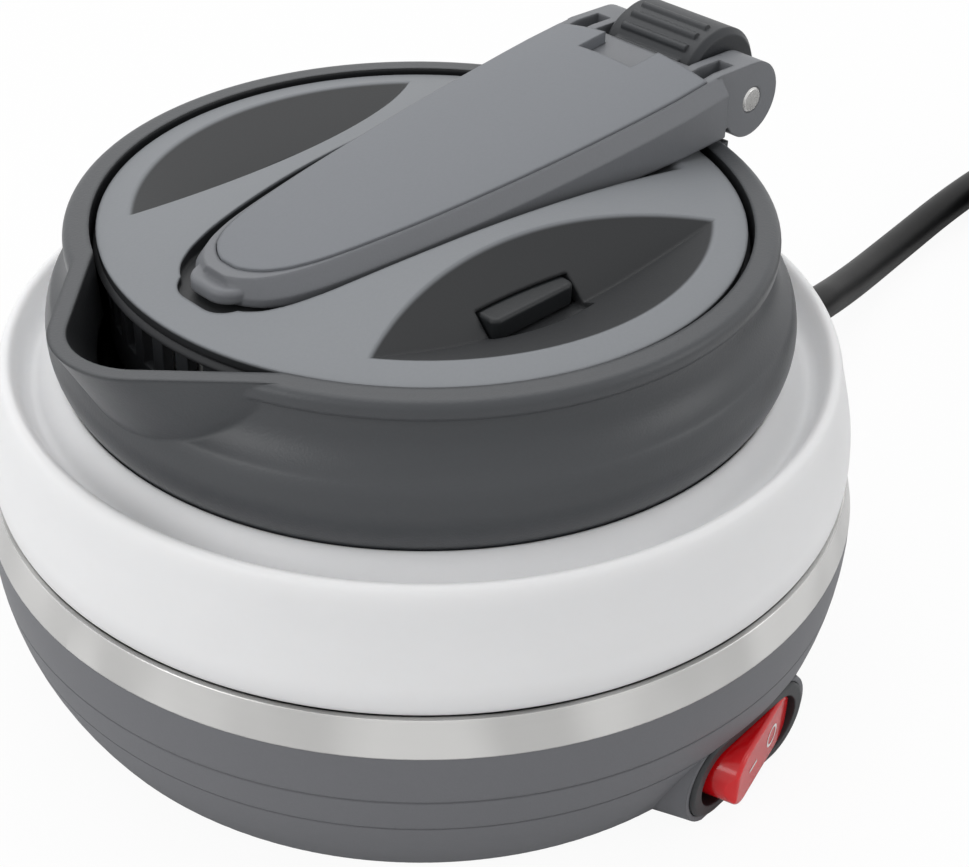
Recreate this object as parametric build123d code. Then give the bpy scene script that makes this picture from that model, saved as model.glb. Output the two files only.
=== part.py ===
from build123d import *
import math
import os

os.makedirs("parts", exist_ok=True)

# A collapsible travel kettle, folded flat, in millimetres.
# Z is up and zero on the table, the kettle's axis is the Z axis,
# the spout points along -X, the hinge and the cord are on the +X side.

# Values that every piece shares
overrun = 30.0          # how far a cutting solid runs past what it cuts
seat_gap = 0.1          # clearance between pieces that seat in each other
pin_slip = 0.05         # radial running clearance on the hinge pin
move_gap = 0.5          # clearance between pieces that move past each other
sheet = 0.8             # steel sheet of the pan and its band
corner_share = 1 - math.sqrt(1 / 2)     # how far a rounded corner cuts in, as a share of its radius

# Base housing
base_height = 28.0      # table to the foot of the steel band
base_radius = 65.0      # at the foot of the band
base_mid_inset = 1.4    # how much smaller it is at half height
base_low_inset = 7.7    # and at table level, if the curve ran on
base_mid_radius = base_radius - base_mid_inset
base_low_radius = base_radius - base_low_inset
base_wall = 2.2
base_round = 3.0        # rounding of the bottom edge
foot_drop = 1.0         # how far the rubber feet stand below the housing
groove_high = 20.0      # height of the upper decorative groove
groove_low = 14.0       # height of the lower decorative groove
groove_size = 0.25

# Bottom cover, its ledge, screws and feet
cover_margin = 3.7
cover_radius = base_low_radius - cover_margin
cover_sheet = 2.0
cover_inset = 0.3       # the cover lies this far inside the bottom edge
ledge_width = 3.1
ledge_radius = cover_radius - ledge_width
ledge_sheet = 2.0
boss_inset = 4.5
boss_circle = ledge_radius - boss_inset
boss_radius = 3.6
boss_length = 9.0
screw_angles = (60.0, 180.0, 300.0)
screw_radius = 1.45
screw_head_radius = 2.9
screw_head_height = 1.3
screw_length = 9.0
foot_inset = 10.5
foot_circle = ledge_radius - foot_inset
foot_radius = 5.0
foot_stem_radius = 2.0
foot_recess = 0.8
foot_angles = (45.0, 135.0, 225.0, 315.0)

# Steel pan with the visible band
pan_floor = 20.0
pan_inset = 7.2
pan_radius = base_radius - pan_inset
pan_round = 4.0
band_top = 33.4
band_inset = 1.3
band_top_radius = base_radius - band_inset

# Heating parts under the pan
plate_radius = 46.0
plate_height = 3.0
element_circle = 36.0
element_radius = 3.2
element_span = 290.0
element_pin_radius = 1.2
element_pin_drop = 5.0
thermostat_radius = 9.0
thermostat_height = 6.0
fuse_radius = 2.0
fuse_length = 14.0
fuse_offset = 18.0
block_length = 18.0
block_width = 11.0
block_height = 8.0
block_place = 30.0

# Silicone bellows, folded
silicone_wall = 1.8
bead_inset = 2.4
bead_width = 2.1
bead_radius = base_radius - bead_inset
bead_inner_radius = bead_radius - bead_width
belly_inset = 1.5
belly_radius = base_radius - belly_inset
belly_height = 37.5
crest_inset = 8.0
crest_radius = base_radius - crest_inset
crest_height = 49.2
shoulder_inset = 4.1
shoulder_radius = base_radius - shoulder_inset
shoulder_height = 44.9
fold_outer_radius = 53.6
fold_inner_radius = 51.0
fold_height = 26.6
slope_height = 45.0
shelf_radius = 51.8     # the fold's shelf ends here, close to the collar
shelf_height = 50.0
cuff_radius = 49.05
cuff_height = 44.6
clamp_ring_sheet = 1.3
clamp_ring_height = 5.2

# Collar: the rigid upper ring with rim, spout and hinge bracket
collar_foot = 38.2
collar_bore = 46.4
collar_foot_radius = 48.9
collar_limb_radius = 51.3
collar_limb_height = 50.3
bulge_radius = 53.6
bulge_height = 56.5
neck_radius = 48.9
neck_height = 67.0
rim_radius = 49.9
rim_height = 71.3
rim_line_height = 68.9
rim_round = 1.3
neck_bore = 46.2
catch_height = 63.5
catch_depth = 2.0
collar_wall = 2.3
cuff_ring_sheet = 0.9
cuff_ring_height = 4.0

# Spout
spout_apex = 65.0       # where the two lip flanks would meet
spout_tip_round = 12.0
spout_low_apex = 60.4
spout_low_round = 25.0
spout_low_height = 53.0
spout_root = 25.0
spout_wall = 2.3
spout_half_angle = 45.0

# Lid
lid_radius = 45.3
lid_edge_height = 70.6
lid_edge_band = 1.4
lid_apex_height = 75.6
lid_wall = 2.0

# Finger recesses in the lid: each is where two tapering cones overlap
recess_angle = 96.0     # direction of the recess centre about the axis
recess_near_reach = 19.0
recess_crease_reach = 27.4
recess_far_reach = 41.2
recess_near_height = 74.7
recess_crease_height = 66.0
recess_far_height = 71.7
recess_near_centre = 100.0
recess_shell_drop = 2.3

# Trough of the lid that the folded handle lies in
trough_front_height = 70.9
trough_rear_height = 71.9
trough_front = 37.0
trough_front_gap = 1.7
trough_side_share = 0.8
trough_wall = 1.6
notch_reach = 40.2
notch_half_width = 6.3

# Strainer skirt, seal, mesh and floor of the lid
skirt_radius = 44.6
skirt_wall = 1.6
skirt_foot = 56.0
slot_width = 2.7
slot_pitch_angle = 6.6
slot_count = 9
slot_foot = 61.2
slot_head = 67.2
mesh_radius = 42.6
mesh_sheet = 0.4
mesh_span = 62.0
mesh_foot = 60.8
mesh_head = 68.0
seal_foot = 67.5
seal_radius = 45.9
lid_floor_radius = 41.6
lid_floor_height = 58.8
lid_floor_sheet = 1.6
lid_floor_front = 27.0
lid_boss_radius = 3.0
lid_boss_front = 24.0
lid_boss_side = 10.0
lid_boss_rear = 28.0
lid_screw_radius = 1.2
lid_screw_length = 7.0

# Squeeze latches of the lid
latch_front = 12.4
latch_rear = 2.8
latch_bar_reach = 26.8
latch_bar_depth = 7.0
latch_bar_foot = 66.2
latch_bar_head = 69.2
latch_round = 1.2
latch_neck_inset = 2.0
latch_inner_reach = 12.0
latch_leg_sheet = 2.6
latch_plate_foot = 61.4
latch_plate_sheet = 1.6
latch_tongue_radius = 47.4
latch_post_half = 3.0
latch_post_reach = 4.6
latch_spring_radius = 1.8
latch_spring_wire = 0.5
latch_spring_turns = 4

# Hinge pin, bracket and lock button
hinge_x = 54.0
hinge_height = 75.5
pin_radius = 2.0
pin_half_length = 15.2
knuckle_radius = 5.4
knuckle_half_width = 6.8
web_half_width = 8.9
web_foot = 57.0
web_top = 69.4
web_front = 44.0
web_tail = 60.0
shelf_half_width = 13.5
shelf_rear = 51.4
shelf_top = 69.0
shelf_foot = 63.0
button_radius = 9.0
button_half_width = 8.7
button_cheek = 1.5
button_foot = 71.9
button_front_foot = 74.0
button_travel = 2.0
button_edge = 0.9
rib_radius = 0.7
rib_seat_radius = 8.8
rib_half_length = 6.3
rib_angles = (97.0, 113.0, 129.0, 145.0)
lock_spring_radius = 1.9
lock_spring_wire = 0.5
lock_spring_turns = 4
lock_spring_foot = 78.2

# Handle
handle_front = 36.9     # reach of the rounded front end past the kettle's axis
handle_half_width = 16.9
handle_ear_half = 15.0
handle_ear_start = 48.0
# Front to ears: share of the handle's length and share of its half width
handle_plan_shares = [
    (0.005, 0.21), (0.014, 0.305), (0.031, 0.41), (0.05, 0.475), (0.071, 0.53), (0.115, 0.605),
    (0.16, 0.655), (0.204, 0.695), (0.28, 0.755), (0.349, 0.8), (0.47, 0.866), (0.6, 0.925),
    (0.74, 0.97), (0.88, 1.0), (1.0, 0.99),
]
ear_inner_half = 9.3
ear_round = 5.9
ear_wall = 1.5
ear_pocket_front = 42.4
ear_pocket_rear = 50.6
ear_pocket_foot = 74.0
handle_foot_front = 71.5
handle_foot_rear = 72.5
handle_top_front = 74.8
handle_top_middle = 77.6
handle_top_rear = 81.7
handle_top_end = 46.0
handle_shell = 2.0
handle_bevel_in = 1.9
handle_bevel_down = 2.4
crossbar_clear = 10.6
crossbar_sheet = 2.2
handle_rib_shares = (0.3, 0.65)
tab_reach = 38.7
tab_half_width = 4.8
tab_top = 73.8
tab_foot = 72.0
tab_round = 3.6
pad_inset = 2.2
pad_sink = 1.2
pad_crown_radius = 62.0
pad_proud = 0.25
pad_end = 43.0
pad_notch_front = 37.0
pad_notch_half_width = 5.2

# Switch
switch_angle = -86.0
switch_inset = 1.7
switch_face = base_radius - switch_inset     # distance of the bezel's face from the kettle's axis
switch_height = 8.0
bezel_half_length = 13.5
bezel_half_height = 6.6
bezel_sheet = 1.8
bezel_depth = 11.0
bezel_wall = 1.3
boss_rim = 0.9
boss_flare = 14.0
rocker_half_length = 10.2
rocker_swing_radius = 11.2   # the rocker's ends are round about its pivot
switch_mouth_half_length = 11.5
rocker_half_height = 4.6
rocker_proud = 1.5      # how far the level rocker would stand out of the bezel
rocker_depth = 4.8      # pivot behind the bezel's face
rocker_tail = 4.0
rocker_tilt = 12.5
rocker_stud_radius = 1.2
rocker_stud_length = 0.9
rocker_round = 0.6
switch_box_half_length = 8.5
switch_box_half_height = 3.9
switch_box_depth = 8.0
switch_tab_length = 5.0

# Cord: places are (x, y, z), chosen to follow the photograph
cord_radius = 3.5
cord_exit_height = 12.0
gland_inset = 10.0
gland_start = base_radius - gland_inset
gland_flange_sheet = 2.2
gland_end = 86.0
gland_flange_radius = 6.5
gland_neck_radius = 5.6
gland_tip_radius = 4.3
tie_sheet = 0.8
tie_width = 7.0
tie_gap = 0.5
cord_route = [
    (86.0, 0.0, 12.0),
    (100.0, 0.0, 12.0),
    (122.0, 5.4, 6.6),
    (147.0, 10.8, 3.6),
    (173.0, 13.4, 4.8),
    (196.0, 14.6, 4.8),
]
route_share = 0.45      # share of the shorter run that a corner's arc takes
coil_outer_radius = 44.0
coil_pitch = 7.5
coil_turns = 1.5        # turns of each layer, before and after the climb
coil_steps = 4          # arcs' end points in each turn
plug_lead = 14.0        # straight cord between the coil and the plug
plug_relief_length = 24.0
plug_body_length = 34.0
plug_half_width = 12.5
plug_half_height = 12.1
plug_back_half_width = 8.5
plug_round = 3.0
blade_length = 16.0
blade_width = 6.3
blade_sheet = 1.6
blade_spacing = 12.7
earth_radius = 2.4
earth_length = 19.0


def circle_through(first, second, third):
    """Centre and radius of the circle through three points."""
    ax, ay = first
    bx, by = second
    cx, cy = third
    cross = 2 * (ax * (by - cy) + bx * (cy - ay) + cx * (ay - by))
    a2 = ax * ax + ay * ay
    b2 = bx * bx + by * by
    c2 = cx * cx + cy * cy
    x = (a2 * (by - cy) + b2 * (cy - ay) + c2 * (ay - by)) / cross
    y = (a2 * (cx - bx) + b2 * (ax - cx) + c2 * (bx - ax)) / cross
    return x, y, math.hypot(ax - x, ay - y)


def base_radius_at(z):
    """Outer radius of the base housing at a height."""
    x, y, r = circle_through(
        (base_low_radius, 0),
        (base_mid_radius, base_height / 2),
        (base_radius, base_height),
    )
    return x + math.sqrt(r * r - (z - y) ** 2)


def section(stops):
    """A closed face in XY; a stop given as (via, end) is an arc."""
    here = stops[0]
    edges = []
    for stop in stops[1:]:
        if isinstance(stop[0], tuple):
            via, end = stop
            edges.append(ThreePointArc(here, via, end))
        else:
            end = stop
            edges.append(Line(here, end))
        here = end
    if here != stops[0]:
        edges.append(Line(here, stops[0]))
    return make_face(edges)


def turned(stops):
    """A solid of revolution about Z from a profile of (radius, height)."""
    return revolve(Plane.XZ * section(stops), Axis.Z)


def disc(radius, foot, top):
    """An upright cylinder between two heights."""
    return Pos(0, 0, foot) * extrude(Circle(radius), top - foot)


def ring(outer, inner, foot, top):
    """An upright ring between two heights."""
    return disc(outer, foot, top) - disc(inner, foot, top)


def block(low, high):
    """A box between two corners."""
    size = [b - a for a, b in zip(low, high)]
    middle = [(a + b) / 2 for a, b in zip(low, high)]
    return Pos(*middle) * Box(*size)


def side_slab(stops, half_width):
    """A profile in XZ, drawn out to both sides of the kettle's middle."""
    return extrude(Plane.XZ * section(stops), half_width, both=True)


def cross_bar(radius, half_length, x, z):
    """A cylinder along Y."""
    return Pos(x, 0, z) * Rot(90, 0, 0) * extrude(Circle(radius), half_length, both=True)


def around(angle, shape):
    """A shape turned about the kettle's axis."""
    return Rot(0, 0, angle) * shape


def mirrored(shape):
    """The copy of a shape on the other side of the kettle's middle."""
    return mirror(shape, about=Plane.XZ)


def save(shape, name):
    """Write one node."""
    export_step(shape, f"parts/{name}.step")


def joined(solids):
    """One node that holds separate solids."""
    return Compound([solid for shape in solids for solid in shape.solids()])


# Base

def at_switch(shape):
    """Place a shape drawn at the switch: +X outward, zero at the kettle's axis."""
    return around(switch_angle, Pos(0, 0, switch_height) * shape)


def oval(half_length, half_height, inner, outer, flare=0):
    """A lying oval drawn out along X between two distances."""
    face = SlotOverall(2 * half_length, 2 * half_height)
    upright = Plane(origin=(outer, 0, 0), x_dir=(0, 1, 0), z_dir=(-1, 0, 0))
    return extrude(upright * face, outer - inner, taper=-flare)


def base_housing():
    outer = turned([
        (0, foot_drop),
        (base_radius_at(foot_drop), foot_drop),
        ((base_mid_radius, base_height / 2), (base_radius, base_height)),
        (0, base_height),
    ])
    outer = fillet(outer.edges().group_by(Axis.Z)[0], base_round)
    switch_boss = at_switch(
        oval(bezel_half_length + boss_rim, bezel_half_height + boss_rim,
             ledge_radius, switch_face - bezel_sheet / 3, boss_flare))
    switch_boss &= disc(base_radius + overrun, foot_drop, base_height / 2)
    ledge_foot = foot_drop + cover_inset + cover_sheet
    ledge_top = ledge_foot + ledge_sheet
    hollow = turned([
        (0, ledge_top),
        (base_radius_at(ledge_top) - base_wall, ledge_top),
        ((base_mid_radius - base_wall, base_height / 2),
         (base_radius - base_wall, base_height)),
        (0, base_height),
    ])
    body = outer + switch_boss
    body -= hollow
    body -= disc(cover_radius + seat_gap, 0, ledge_foot)
    body -= disc(ledge_radius, 0, ledge_top)
    lug = Pos((boss_circle + ledge_radius) / 2 + boss_radius / 2, 0, 0) * extrude(
        Rectangle(ledge_radius - boss_circle + boss_radius, 2 * boss_radius), ledge_sheet)
    post = Pos(boss_circle, 0, 0) * extrude(Circle(boss_radius), boss_length)
    bore = Pos(boss_circle, 0, 0) * extrude(Circle(screw_radius + seat_gap), overrun, both=True)
    for angle in screw_angles:
        body += around(angle, Pos(0, 0, ledge_foot) * (lug + post))
    for angle in screw_angles:
        body -= around(angle, bore)
    for height in (groove_low, groove_high):
        reach = base_radius_at(height)
        body -= turned([
            (reach + groove_size, height - groove_size),
            (reach - groove_size, height),
            (reach + groove_size, height + groove_size),
        ])
    body -= at_switch(
        oval(bezel_half_length + seat_gap, bezel_half_height + seat_gap,
             switch_face - bezel_sheet, switch_face + overrun))
    body -= at_switch(
        oval(switch_mouth_half_length + bezel_wall + move_gap / 2,
             rocker_half_height + bezel_wall + move_gap,
             switch_face - bezel_depth - overrun / 2, switch_face))
    gland_hole = Plane.YZ.offset(gland_start) * Circle(gland_neck_radius + seat_gap)
    body -= Pos(0, 0, cord_exit_height) * extrude(gland_hole, overrun)
    return body


def bottom_cover():
    foot = foot_drop + cover_inset
    plate = disc(cover_radius, foot, foot + cover_sheet)
    hole = Pos(boss_circle, 0, 0) * extrude(Circle(screw_radius + seat_gap), overrun)
    sink = Pos(boss_circle, 0, 0) * extrude(
        Circle(screw_head_radius + seat_gap), foot + screw_head_height)
    for angle in screw_angles:
        plate -= around(angle, hole + sink)
    stem = Pos(foot_circle, 0, 0) * extrude(Circle(foot_stem_radius + seat_gap), overrun)
    dish = Pos(foot_circle, 0, 0) * extrude(
        Circle(foot_radius + seat_gap), foot + foot_recess)
    for angle in foot_angles:
        plate -= around(angle, stem + dish)
    relief = at_switch(
        oval(switch_mouth_half_length + bezel_wall + move_gap / 2,
             rocker_half_height + bezel_wall + move_gap,
             switch_face - bezel_depth - overrun / 2, switch_face))
    return plate - relief


def cover_screws():
    foot = foot_drop + cover_inset
    head = extrude(Circle(screw_head_radius), screw_head_height)
    shank = Pos(0, 0, screw_head_height) * extrude(Circle(screw_radius), screw_length)
    screw = Pos(boss_circle, 0, foot) * (head + shank)
    return joined(around(angle, screw) for angle in screw_angles)


def rubber_feet():
    foot = foot_drop + cover_inset
    pad = extrude(Circle(foot_radius), foot + foot_recess - seat_gap)
    pad = fillet(pad.edges().group_by(Axis.Z)[0], foot_drop / 2)
    stem = extrude(Circle(foot_stem_radius), foot + cover_sheet)
    one = Pos(foot_circle, 0, 0) * (pad + stem)
    return joined(around(angle, one) for angle in foot_angles)


def steel_pan():
    inner = pan_radius - sheet
    body = turned([
        (0, pan_floor),
        (pan_radius, pan_floor),
        (pan_radius, base_height),
        (base_radius, base_height),
        (band_top_radius, band_top),
        (band_top_radius - sheet, band_top),
        (base_radius - sheet, base_height + sheet),
        (inner, base_height + sheet),
        (inner, pan_floor + sheet),
        (0, pan_floor + sheet),
    ])
    outside = body.edges().filter_by_position(Axis.Z, pan_floor - sheet / 4, pan_floor + sheet / 4)
    body = fillet(outside, pan_round)
    inside = body.edges().filter_by_position(
        Axis.Z, pan_floor + sheet * 3 / 4, pan_floor + sheet * 5 / 4)
    return fillet([e for e in inside if e.bounding_box().size.X > inner], pan_round - sheet)


def lower_clamp_ring():
    outer = bead_inner_radius - seat_gap
    foot = base_height + sheet + seat_gap
    return ring(outer, outer - clamp_ring_sheet, foot, foot + clamp_ring_height)


def heating_plate():
    top = pan_floor - seat_gap
    return disc(plate_radius, top - plate_height, top)


def element_height():
    """Height of the middle of the heating tube."""
    return pan_floor - plate_height - 2 * seat_gap - element_radius


def heating_element():
    tube = around(180 - element_span / 2, revolve(
        Plane.XZ * Pos(element_circle, element_height()) * Circle(element_radius),
        Axis.Z, element_span))
    pins = []
    for turn in (-element_span / 2, element_span / 2):
        pin = Pos(element_circle, 0, element_height() - element_pin_drop) * extrude(
            Circle(element_pin_radius), element_pin_drop)
        inset = math.degrees(element_pin_radius / element_circle) * 1.2
        pins.append(around(180 + turn - math.copysign(inset, turn), pin))
    for pin in pins:
        tube += pin
    return tube


def thermostat():
    top = pan_floor - plate_height - 2 * seat_gap
    body = disc(thermostat_radius, top - thermostat_height, top)
    flange = Pos(0, 0, top - sheet) * extrude(
        SlotOverall(4 * thermostat_radius, thermostat_radius), sheet)
    return body + flange


def thermal_fuse():
    top = pan_floor - plate_height - 2 * seat_gap
    body = Pos(0, -fuse_offset, top - fuse_radius) * Rot(0, 90, 0) * extrude(
        Circle(fuse_radius), fuse_length / 2, both=True)
    leads = Pos(0, -fuse_offset, top - fuse_radius) * Rot(0, 90, 0) * extrude(
        Circle(fuse_radius / 5), fuse_length, both=True)
    return body + leads


def terminal_block():
    foot = foot_drop + cover_inset + cover_sheet
    body = Pos(block_place, 0, foot) * extrude(
        Rectangle(block_width, block_length), block_height)
    bores = GridLocations(0, block_length / 3, 1, 3)
    hole = extrude(Circle(block_width / 6), block_height / 2)
    for place in bores:
        body -= Pos(block_place, 0, foot + block_height / 2) * place * hole
    return body


# Silicone bellows

def silicone_body():
    wall = silicone_wall
    foot = base_height + sheet + seat_gap
    lip = band_top + seat_gap
    outer = fold_outer_radius + wall
    inner = fold_inner_radius - wall
    fold_middle = (fold_outer_radius + fold_inner_radius) / 2
    fold_start = fold_height + (fold_outer_radius - fold_inner_radius) / 2
    crest_under = crest_height - wall
    return turned([
        (bead_inner_radius, foot),
        (bead_radius, foot),
        (bead_radius, lip),
        (belly_radius - seat_gap, lip),
        ((belly_radius, belly_height), (shoulder_radius, shoulder_height)),
        ((crest_radius + wall, crest_height - wall / 2), (crest_radius, crest_height)),
        (shelf_radius, shelf_height),
        (shelf_radius, shelf_height - wall),
        (fold_outer_radius, slope_height),
        (fold_outer_radius, fold_start),
        ((fold_middle, fold_height), (fold_inner_radius, fold_start)),
        (fold_inner_radius, cuff_height),
        (cuff_radius, cuff_height),
        (cuff_radius, collar_foot + wall),
        (inner, collar_foot - wall),
        (inner, fold_start),
        ((fold_middle, fold_height - wall), (outer, fold_start)),
        (outer, slope_height - wall),
        ((crest_radius - wall / 3, crest_under - wall), (crest_radius + wall / 3, crest_under)),
        ((shoulder_radius - wall, shoulder_height - wall), (belly_radius - wall, belly_height)),
        (belly_radius - wall, lip + wall),
        (bead_inner_radius, lip),
    ])


def cuff_clamp_ring():
    inner = fold_inner_radius + seat_gap
    foot = cuff_height - cuff_ring_height - silicone_wall / 2
    return ring(inner + cuff_ring_sheet, inner, foot, foot + cuff_ring_height)


# Collar

def spout_section(height, apex, tip_round, inset):
    """The plan of the spout at one height: two flanks that meet in a rounded tip."""
    grow = 1 / math.sin(math.radians(spout_half_angle))
    tip = apex - inset * grow
    half = (tip - spout_root) * math.tan(math.radians(spout_half_angle))
    face = section([(-tip, 0), (-spout_root, half), (-spout_root, -half)])
    face = fillet(face.vertices().sort_by(Axis.X)[0], tip_round - inset)
    return Pos(0, 0, height) * face


def spout_core(inset, top):
    """The spout's outside, or its channel when inset by the wall."""
    rise = (top - spout_low_height) / (rim_height - spout_low_height)
    apex = spout_low_apex + (spout_apex - spout_low_apex) * rise
    tip_round = spout_low_round + (spout_tip_round - spout_low_round) * rise
    return loft([
        spout_section(spout_low_height, spout_low_apex, spout_low_round, inset),
        spout_section(top, apex, tip_round, inset),
    ])


def collar_body():
    outside = turned([
        (0, collar_foot),
        (collar_foot_radius, collar_foot),
        (collar_foot_radius, cuff_height),
        ((collar_foot_radius + sheet, (cuff_height + collar_limb_height) / 2),
         (collar_limb_radius, collar_limb_height)),
        ((bulge_radius, bulge_height), (bulge_radius - collar_wall / 2, bulge_height + 2 * collar_wall)),
        ((neck_radius + collar_wall / 2, neck_height - 1.5 * collar_wall), (neck_radius, neck_height)),
        (neck_radius, rim_line_height),
        (rim_radius, rim_line_height),
        (rim_radius, rim_height - rim_round),
        ((rim_radius - corner_share * rim_round, rim_height - corner_share * rim_round),
         (rim_radius - rim_round, rim_height)),
        (0, rim_height),
    ])
    body = outside + spout_core(0, rim_height)
    body += hinge_bracket()
    body -= turned([
        (0, collar_foot),
        (collar_bore, collar_foot),
        (collar_bore, cuff_height),
        ((collar_bore + sheet, (cuff_height + collar_limb_height) / 2),
         (collar_limb_radius - collar_wall, collar_limb_height + sheet)),
        ((bulge_radius - collar_wall, bulge_height),
         (neck_bore + catch_depth, catch_height)),
        (neck_bore, catch_height),
        (neck_bore, rim_height),
        (0, rim_height),
    ])
    body -= spout_core(spout_wall, rim_height + collar_wall)
    body -= button_room()
    return body


def hinge_bracket():
    web = side_slab([
        (web_front, web_foot + collar_wall),
        (bulge_radius - collar_wall / 2, web_foot),
        (web_tail, web_top - collar_wall),
        (hinge_x + knuckle_radius, hinge_height),
        (hinge_x - knuckle_radius, hinge_height),
        (hinge_x - knuckle_radius, shelf_top),
        (web_front, shelf_top),
    ], knuckle_half_width)
    knuckle = cross_bar(knuckle_radius, knuckle_half_width, hinge_x, hinge_height)
    pocket_foot = lock_spring_foot - seat_gap
    shelf = side_slab([
        (web_front, shelf_foot),
        (shelf_rear - collar_wall, shelf_foot - collar_wall),
        (shelf_rear, shelf_top - collar_wall),
        (shelf_rear, shelf_top),
        (web_front, shelf_top),
    ], shelf_half_width)
    body = web + knuckle + shelf
    body -= cross_bar(pin_radius + seat_gap / 10, web_half_width + overrun, hinge_x, hinge_height)
    body -= Pos(hinge_x, 0, pocket_foot) * extrude(
        Circle(lock_spring_radius + seat_gap * 3), overrun)
    return body


def button_room():
    """The cut in the rim that lets the lock button's front wall move down."""
    reach = button_radius + move_gap
    low = button_front_foot - button_travel - move_gap
    room = block((hinge_x - reach, -button_half_width - move_gap, low),
                 (hinge_x - knuckle_radius, button_half_width + move_gap, low + overrun))
    side_low = button_foot - button_travel - move_gap
    side = block((hinge_x - knuckle_radius - move_gap, knuckle_half_width, side_low),
                 (rim_radius + move_gap, button_half_width + move_gap, side_low + overrun))
    return room + side + mirrored(side)


def hinge_pin():
    pin = cross_bar(pin_radius, pin_half_length, hinge_x, hinge_height)
    return chamfer(pin.edges().filter_by(GeomType.CIRCLE), seat_gap * 3)


def lock_button():
    body = cross_bar(button_radius, button_half_width, hinge_x, hinge_height)
    body = chamfer(body.edges().filter_by(GeomType.CIRCLE), button_edge)
    for angle in rib_angles:
        turn = math.radians(angle)
        body += cross_bar(rib_radius, rib_half_length,
                          hinge_x + rib_seat_radius * math.cos(turn),
                          hinge_height + rib_seat_radius * math.sin(turn))
    far = button_radius + rib_radius * 2
    body &= block((hinge_x - far, -far, button_foot), (hinge_x + far, far, hinge_height + far))
    inner = knuckle_radius + move_gap
    body -= block((hinge_x - far, -far, button_foot),
                  (hinge_x - inner, far, button_front_foot))
    room = button_half_width - button_cheek
    rise = button_travel + seat_gap * 3
    cavity = cross_bar(inner - seat_gap * 2, room, hinge_x, hinge_height + rise)
    cavity += block((hinge_x - inner, -room, button_foot - overrun),
                    (hinge_x + inner, room, hinge_height + rise / 2))
    slot = pin_radius + seat_gap * 2
    race = cross_bar(slot, far, hinge_x, hinge_height)
    race += cross_bar(slot, far, hinge_x, hinge_height + button_travel)
    race += block((hinge_x - slot, -far, hinge_height),
                  (hinge_x + slot, far, hinge_height + button_travel))
    return body - cavity - race


def helix_arcs(radius, height, turns):
    """A helix about Z as a chain of arcs that meet without a corner."""
    steps = turns * coil_steps
    rise = height / steps

    def place(step):
        turn = 2 * math.pi * step / coil_steps
        return Vector(radius * math.cos(turn), radius * math.sin(turn), rise * step)

    def heading(step):
        turn = 2 * math.pi * step / coil_steps
        slope = rise * coil_steps / (2 * math.pi)
        return Vector(-radius * math.sin(turn), radius * math.cos(turn), slope).normalized()

    return joined_arcs([place(s) for s in range(steps + 1)],
                       [heading(s) for s in range(steps + 1)])


def arc_from(start, heading, end):
    """The way point of the arc that leaves start along heading and reaches end."""
    chord = end - start
    along = chord.normalized()
    aside = heading - along * heading.dot(along)
    if aside.length < 1e-7:
        return (start + end) * 0.5
    lean = math.atan2(aside.length, heading.dot(along))
    return (start + end) * 0.5 + aside.normalized() * (chord.length / 2 * math.tan(lean / 2))


def joined_arcs(points, headings):
    """Two arcs between each pair of points, which keep the heading at each point."""
    edges = []
    for index in range(len(points) - 1):
        p, q = points[index], points[index + 1]
        s, t = headings[index], headings[index + 1]
        v = q - p
        lean = 2 * (1 - s.dot(t))
        reach = v.dot(s + t)
        d = (-reach + math.sqrt(reach * reach + lean * v.dot(v))) / lean
        meet = (p + q + (s - t) * d) * 0.5
        edges.append(ThreePointArc(p, arc_from(p, s, meet), meet))
        edges.append(ThreePointArc(meet, arc_from(q, t * -1, meet), q))
    return Wire(edges)


def spring(radius, wire, height, turns):
    """A compression spring standing on zero, its wire's ends cut square."""
    path = helix_arcs(radius - wire / 2, height - wire, turns)
    start = Plane(origin=path @ 0, z_dir=path % 0)
    coil = sweep(start * Circle(wire / 2), path)
    return Pos(0, 0, wire / 2) * coil


def lock_spring():
    roof = hinge_height + knuckle_radius + button_travel + seat_gap * 3 + move_gap - seat_gap * 2
    height = roof - lock_spring_foot - 2 * seat_gap
    return Pos(hinge_x, 0, lock_spring_foot) * spring(
        lock_spring_radius, lock_spring_wire, height, lock_spring_turns)


# Lid

def dome_radius():
    rise = lid_apex_height - lid_edge_height
    return (lid_radius ** 2 + rise ** 2) / (2 * rise)


def dome(drop):
    """The ball whose top is the lid's domed face, lowered by a wall."""
    return Pos(0, 0, lid_apex_height - dome_radius()) * Sphere(dome_radius() - drop)


def cone_core(radius_low, height_low, radius_high, height_high):
    """A cone drawn on upward past its upper height."""
    slope = (radius_high - radius_low) / (height_high - height_low)
    rise = lid_apex_height - height_low + 2 * lid_wall
    return turned([
        (0, height_low),
        (radius_low, height_low),
        (radius_low + slope * rise, height_low + rise),
        (0, height_low + rise),
    ])


def recess_core():
    """What a finger recess takes out of the lid, on the +X side before it is turned."""
    near = cone_core(recess_near_centre - recess_crease_reach, recess_crease_height,
                     recess_near_centre - recess_near_reach, recess_near_height)
    far = cone_core(recess_crease_reach, recess_crease_height,
                    recess_far_reach, recess_far_height)
    return (Pos(recess_near_centre, 0, 0) * near) & far


def finer(places):
    """The same places with one more between each two, on a smooth line."""
    more = [places[0]]
    last = len(places) - 1
    for i in range(last):
        ring_of_four = [places[max(i - 1, 0)], places[i], places[i + 1], places[min(i + 2, last)]]
        more.append(tuple((9 * (b + c) - a - d) / 16 for a, b, c, d in zip(*ring_of_four)))
        more.append(places[i + 1])
    return more


def handle_stations(grow, front_grow):
    """Places along the handle, front to ears, with its half width at each."""
    span = handle_top_end + handle_front
    stations = []
    for along, across in finer(handle_plan_shares):
        lag = front_grow * (1 - along) ** 4
        stations.append((along * span - handle_front - lag, across * handle_half_width + grow))
    return stations


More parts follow.
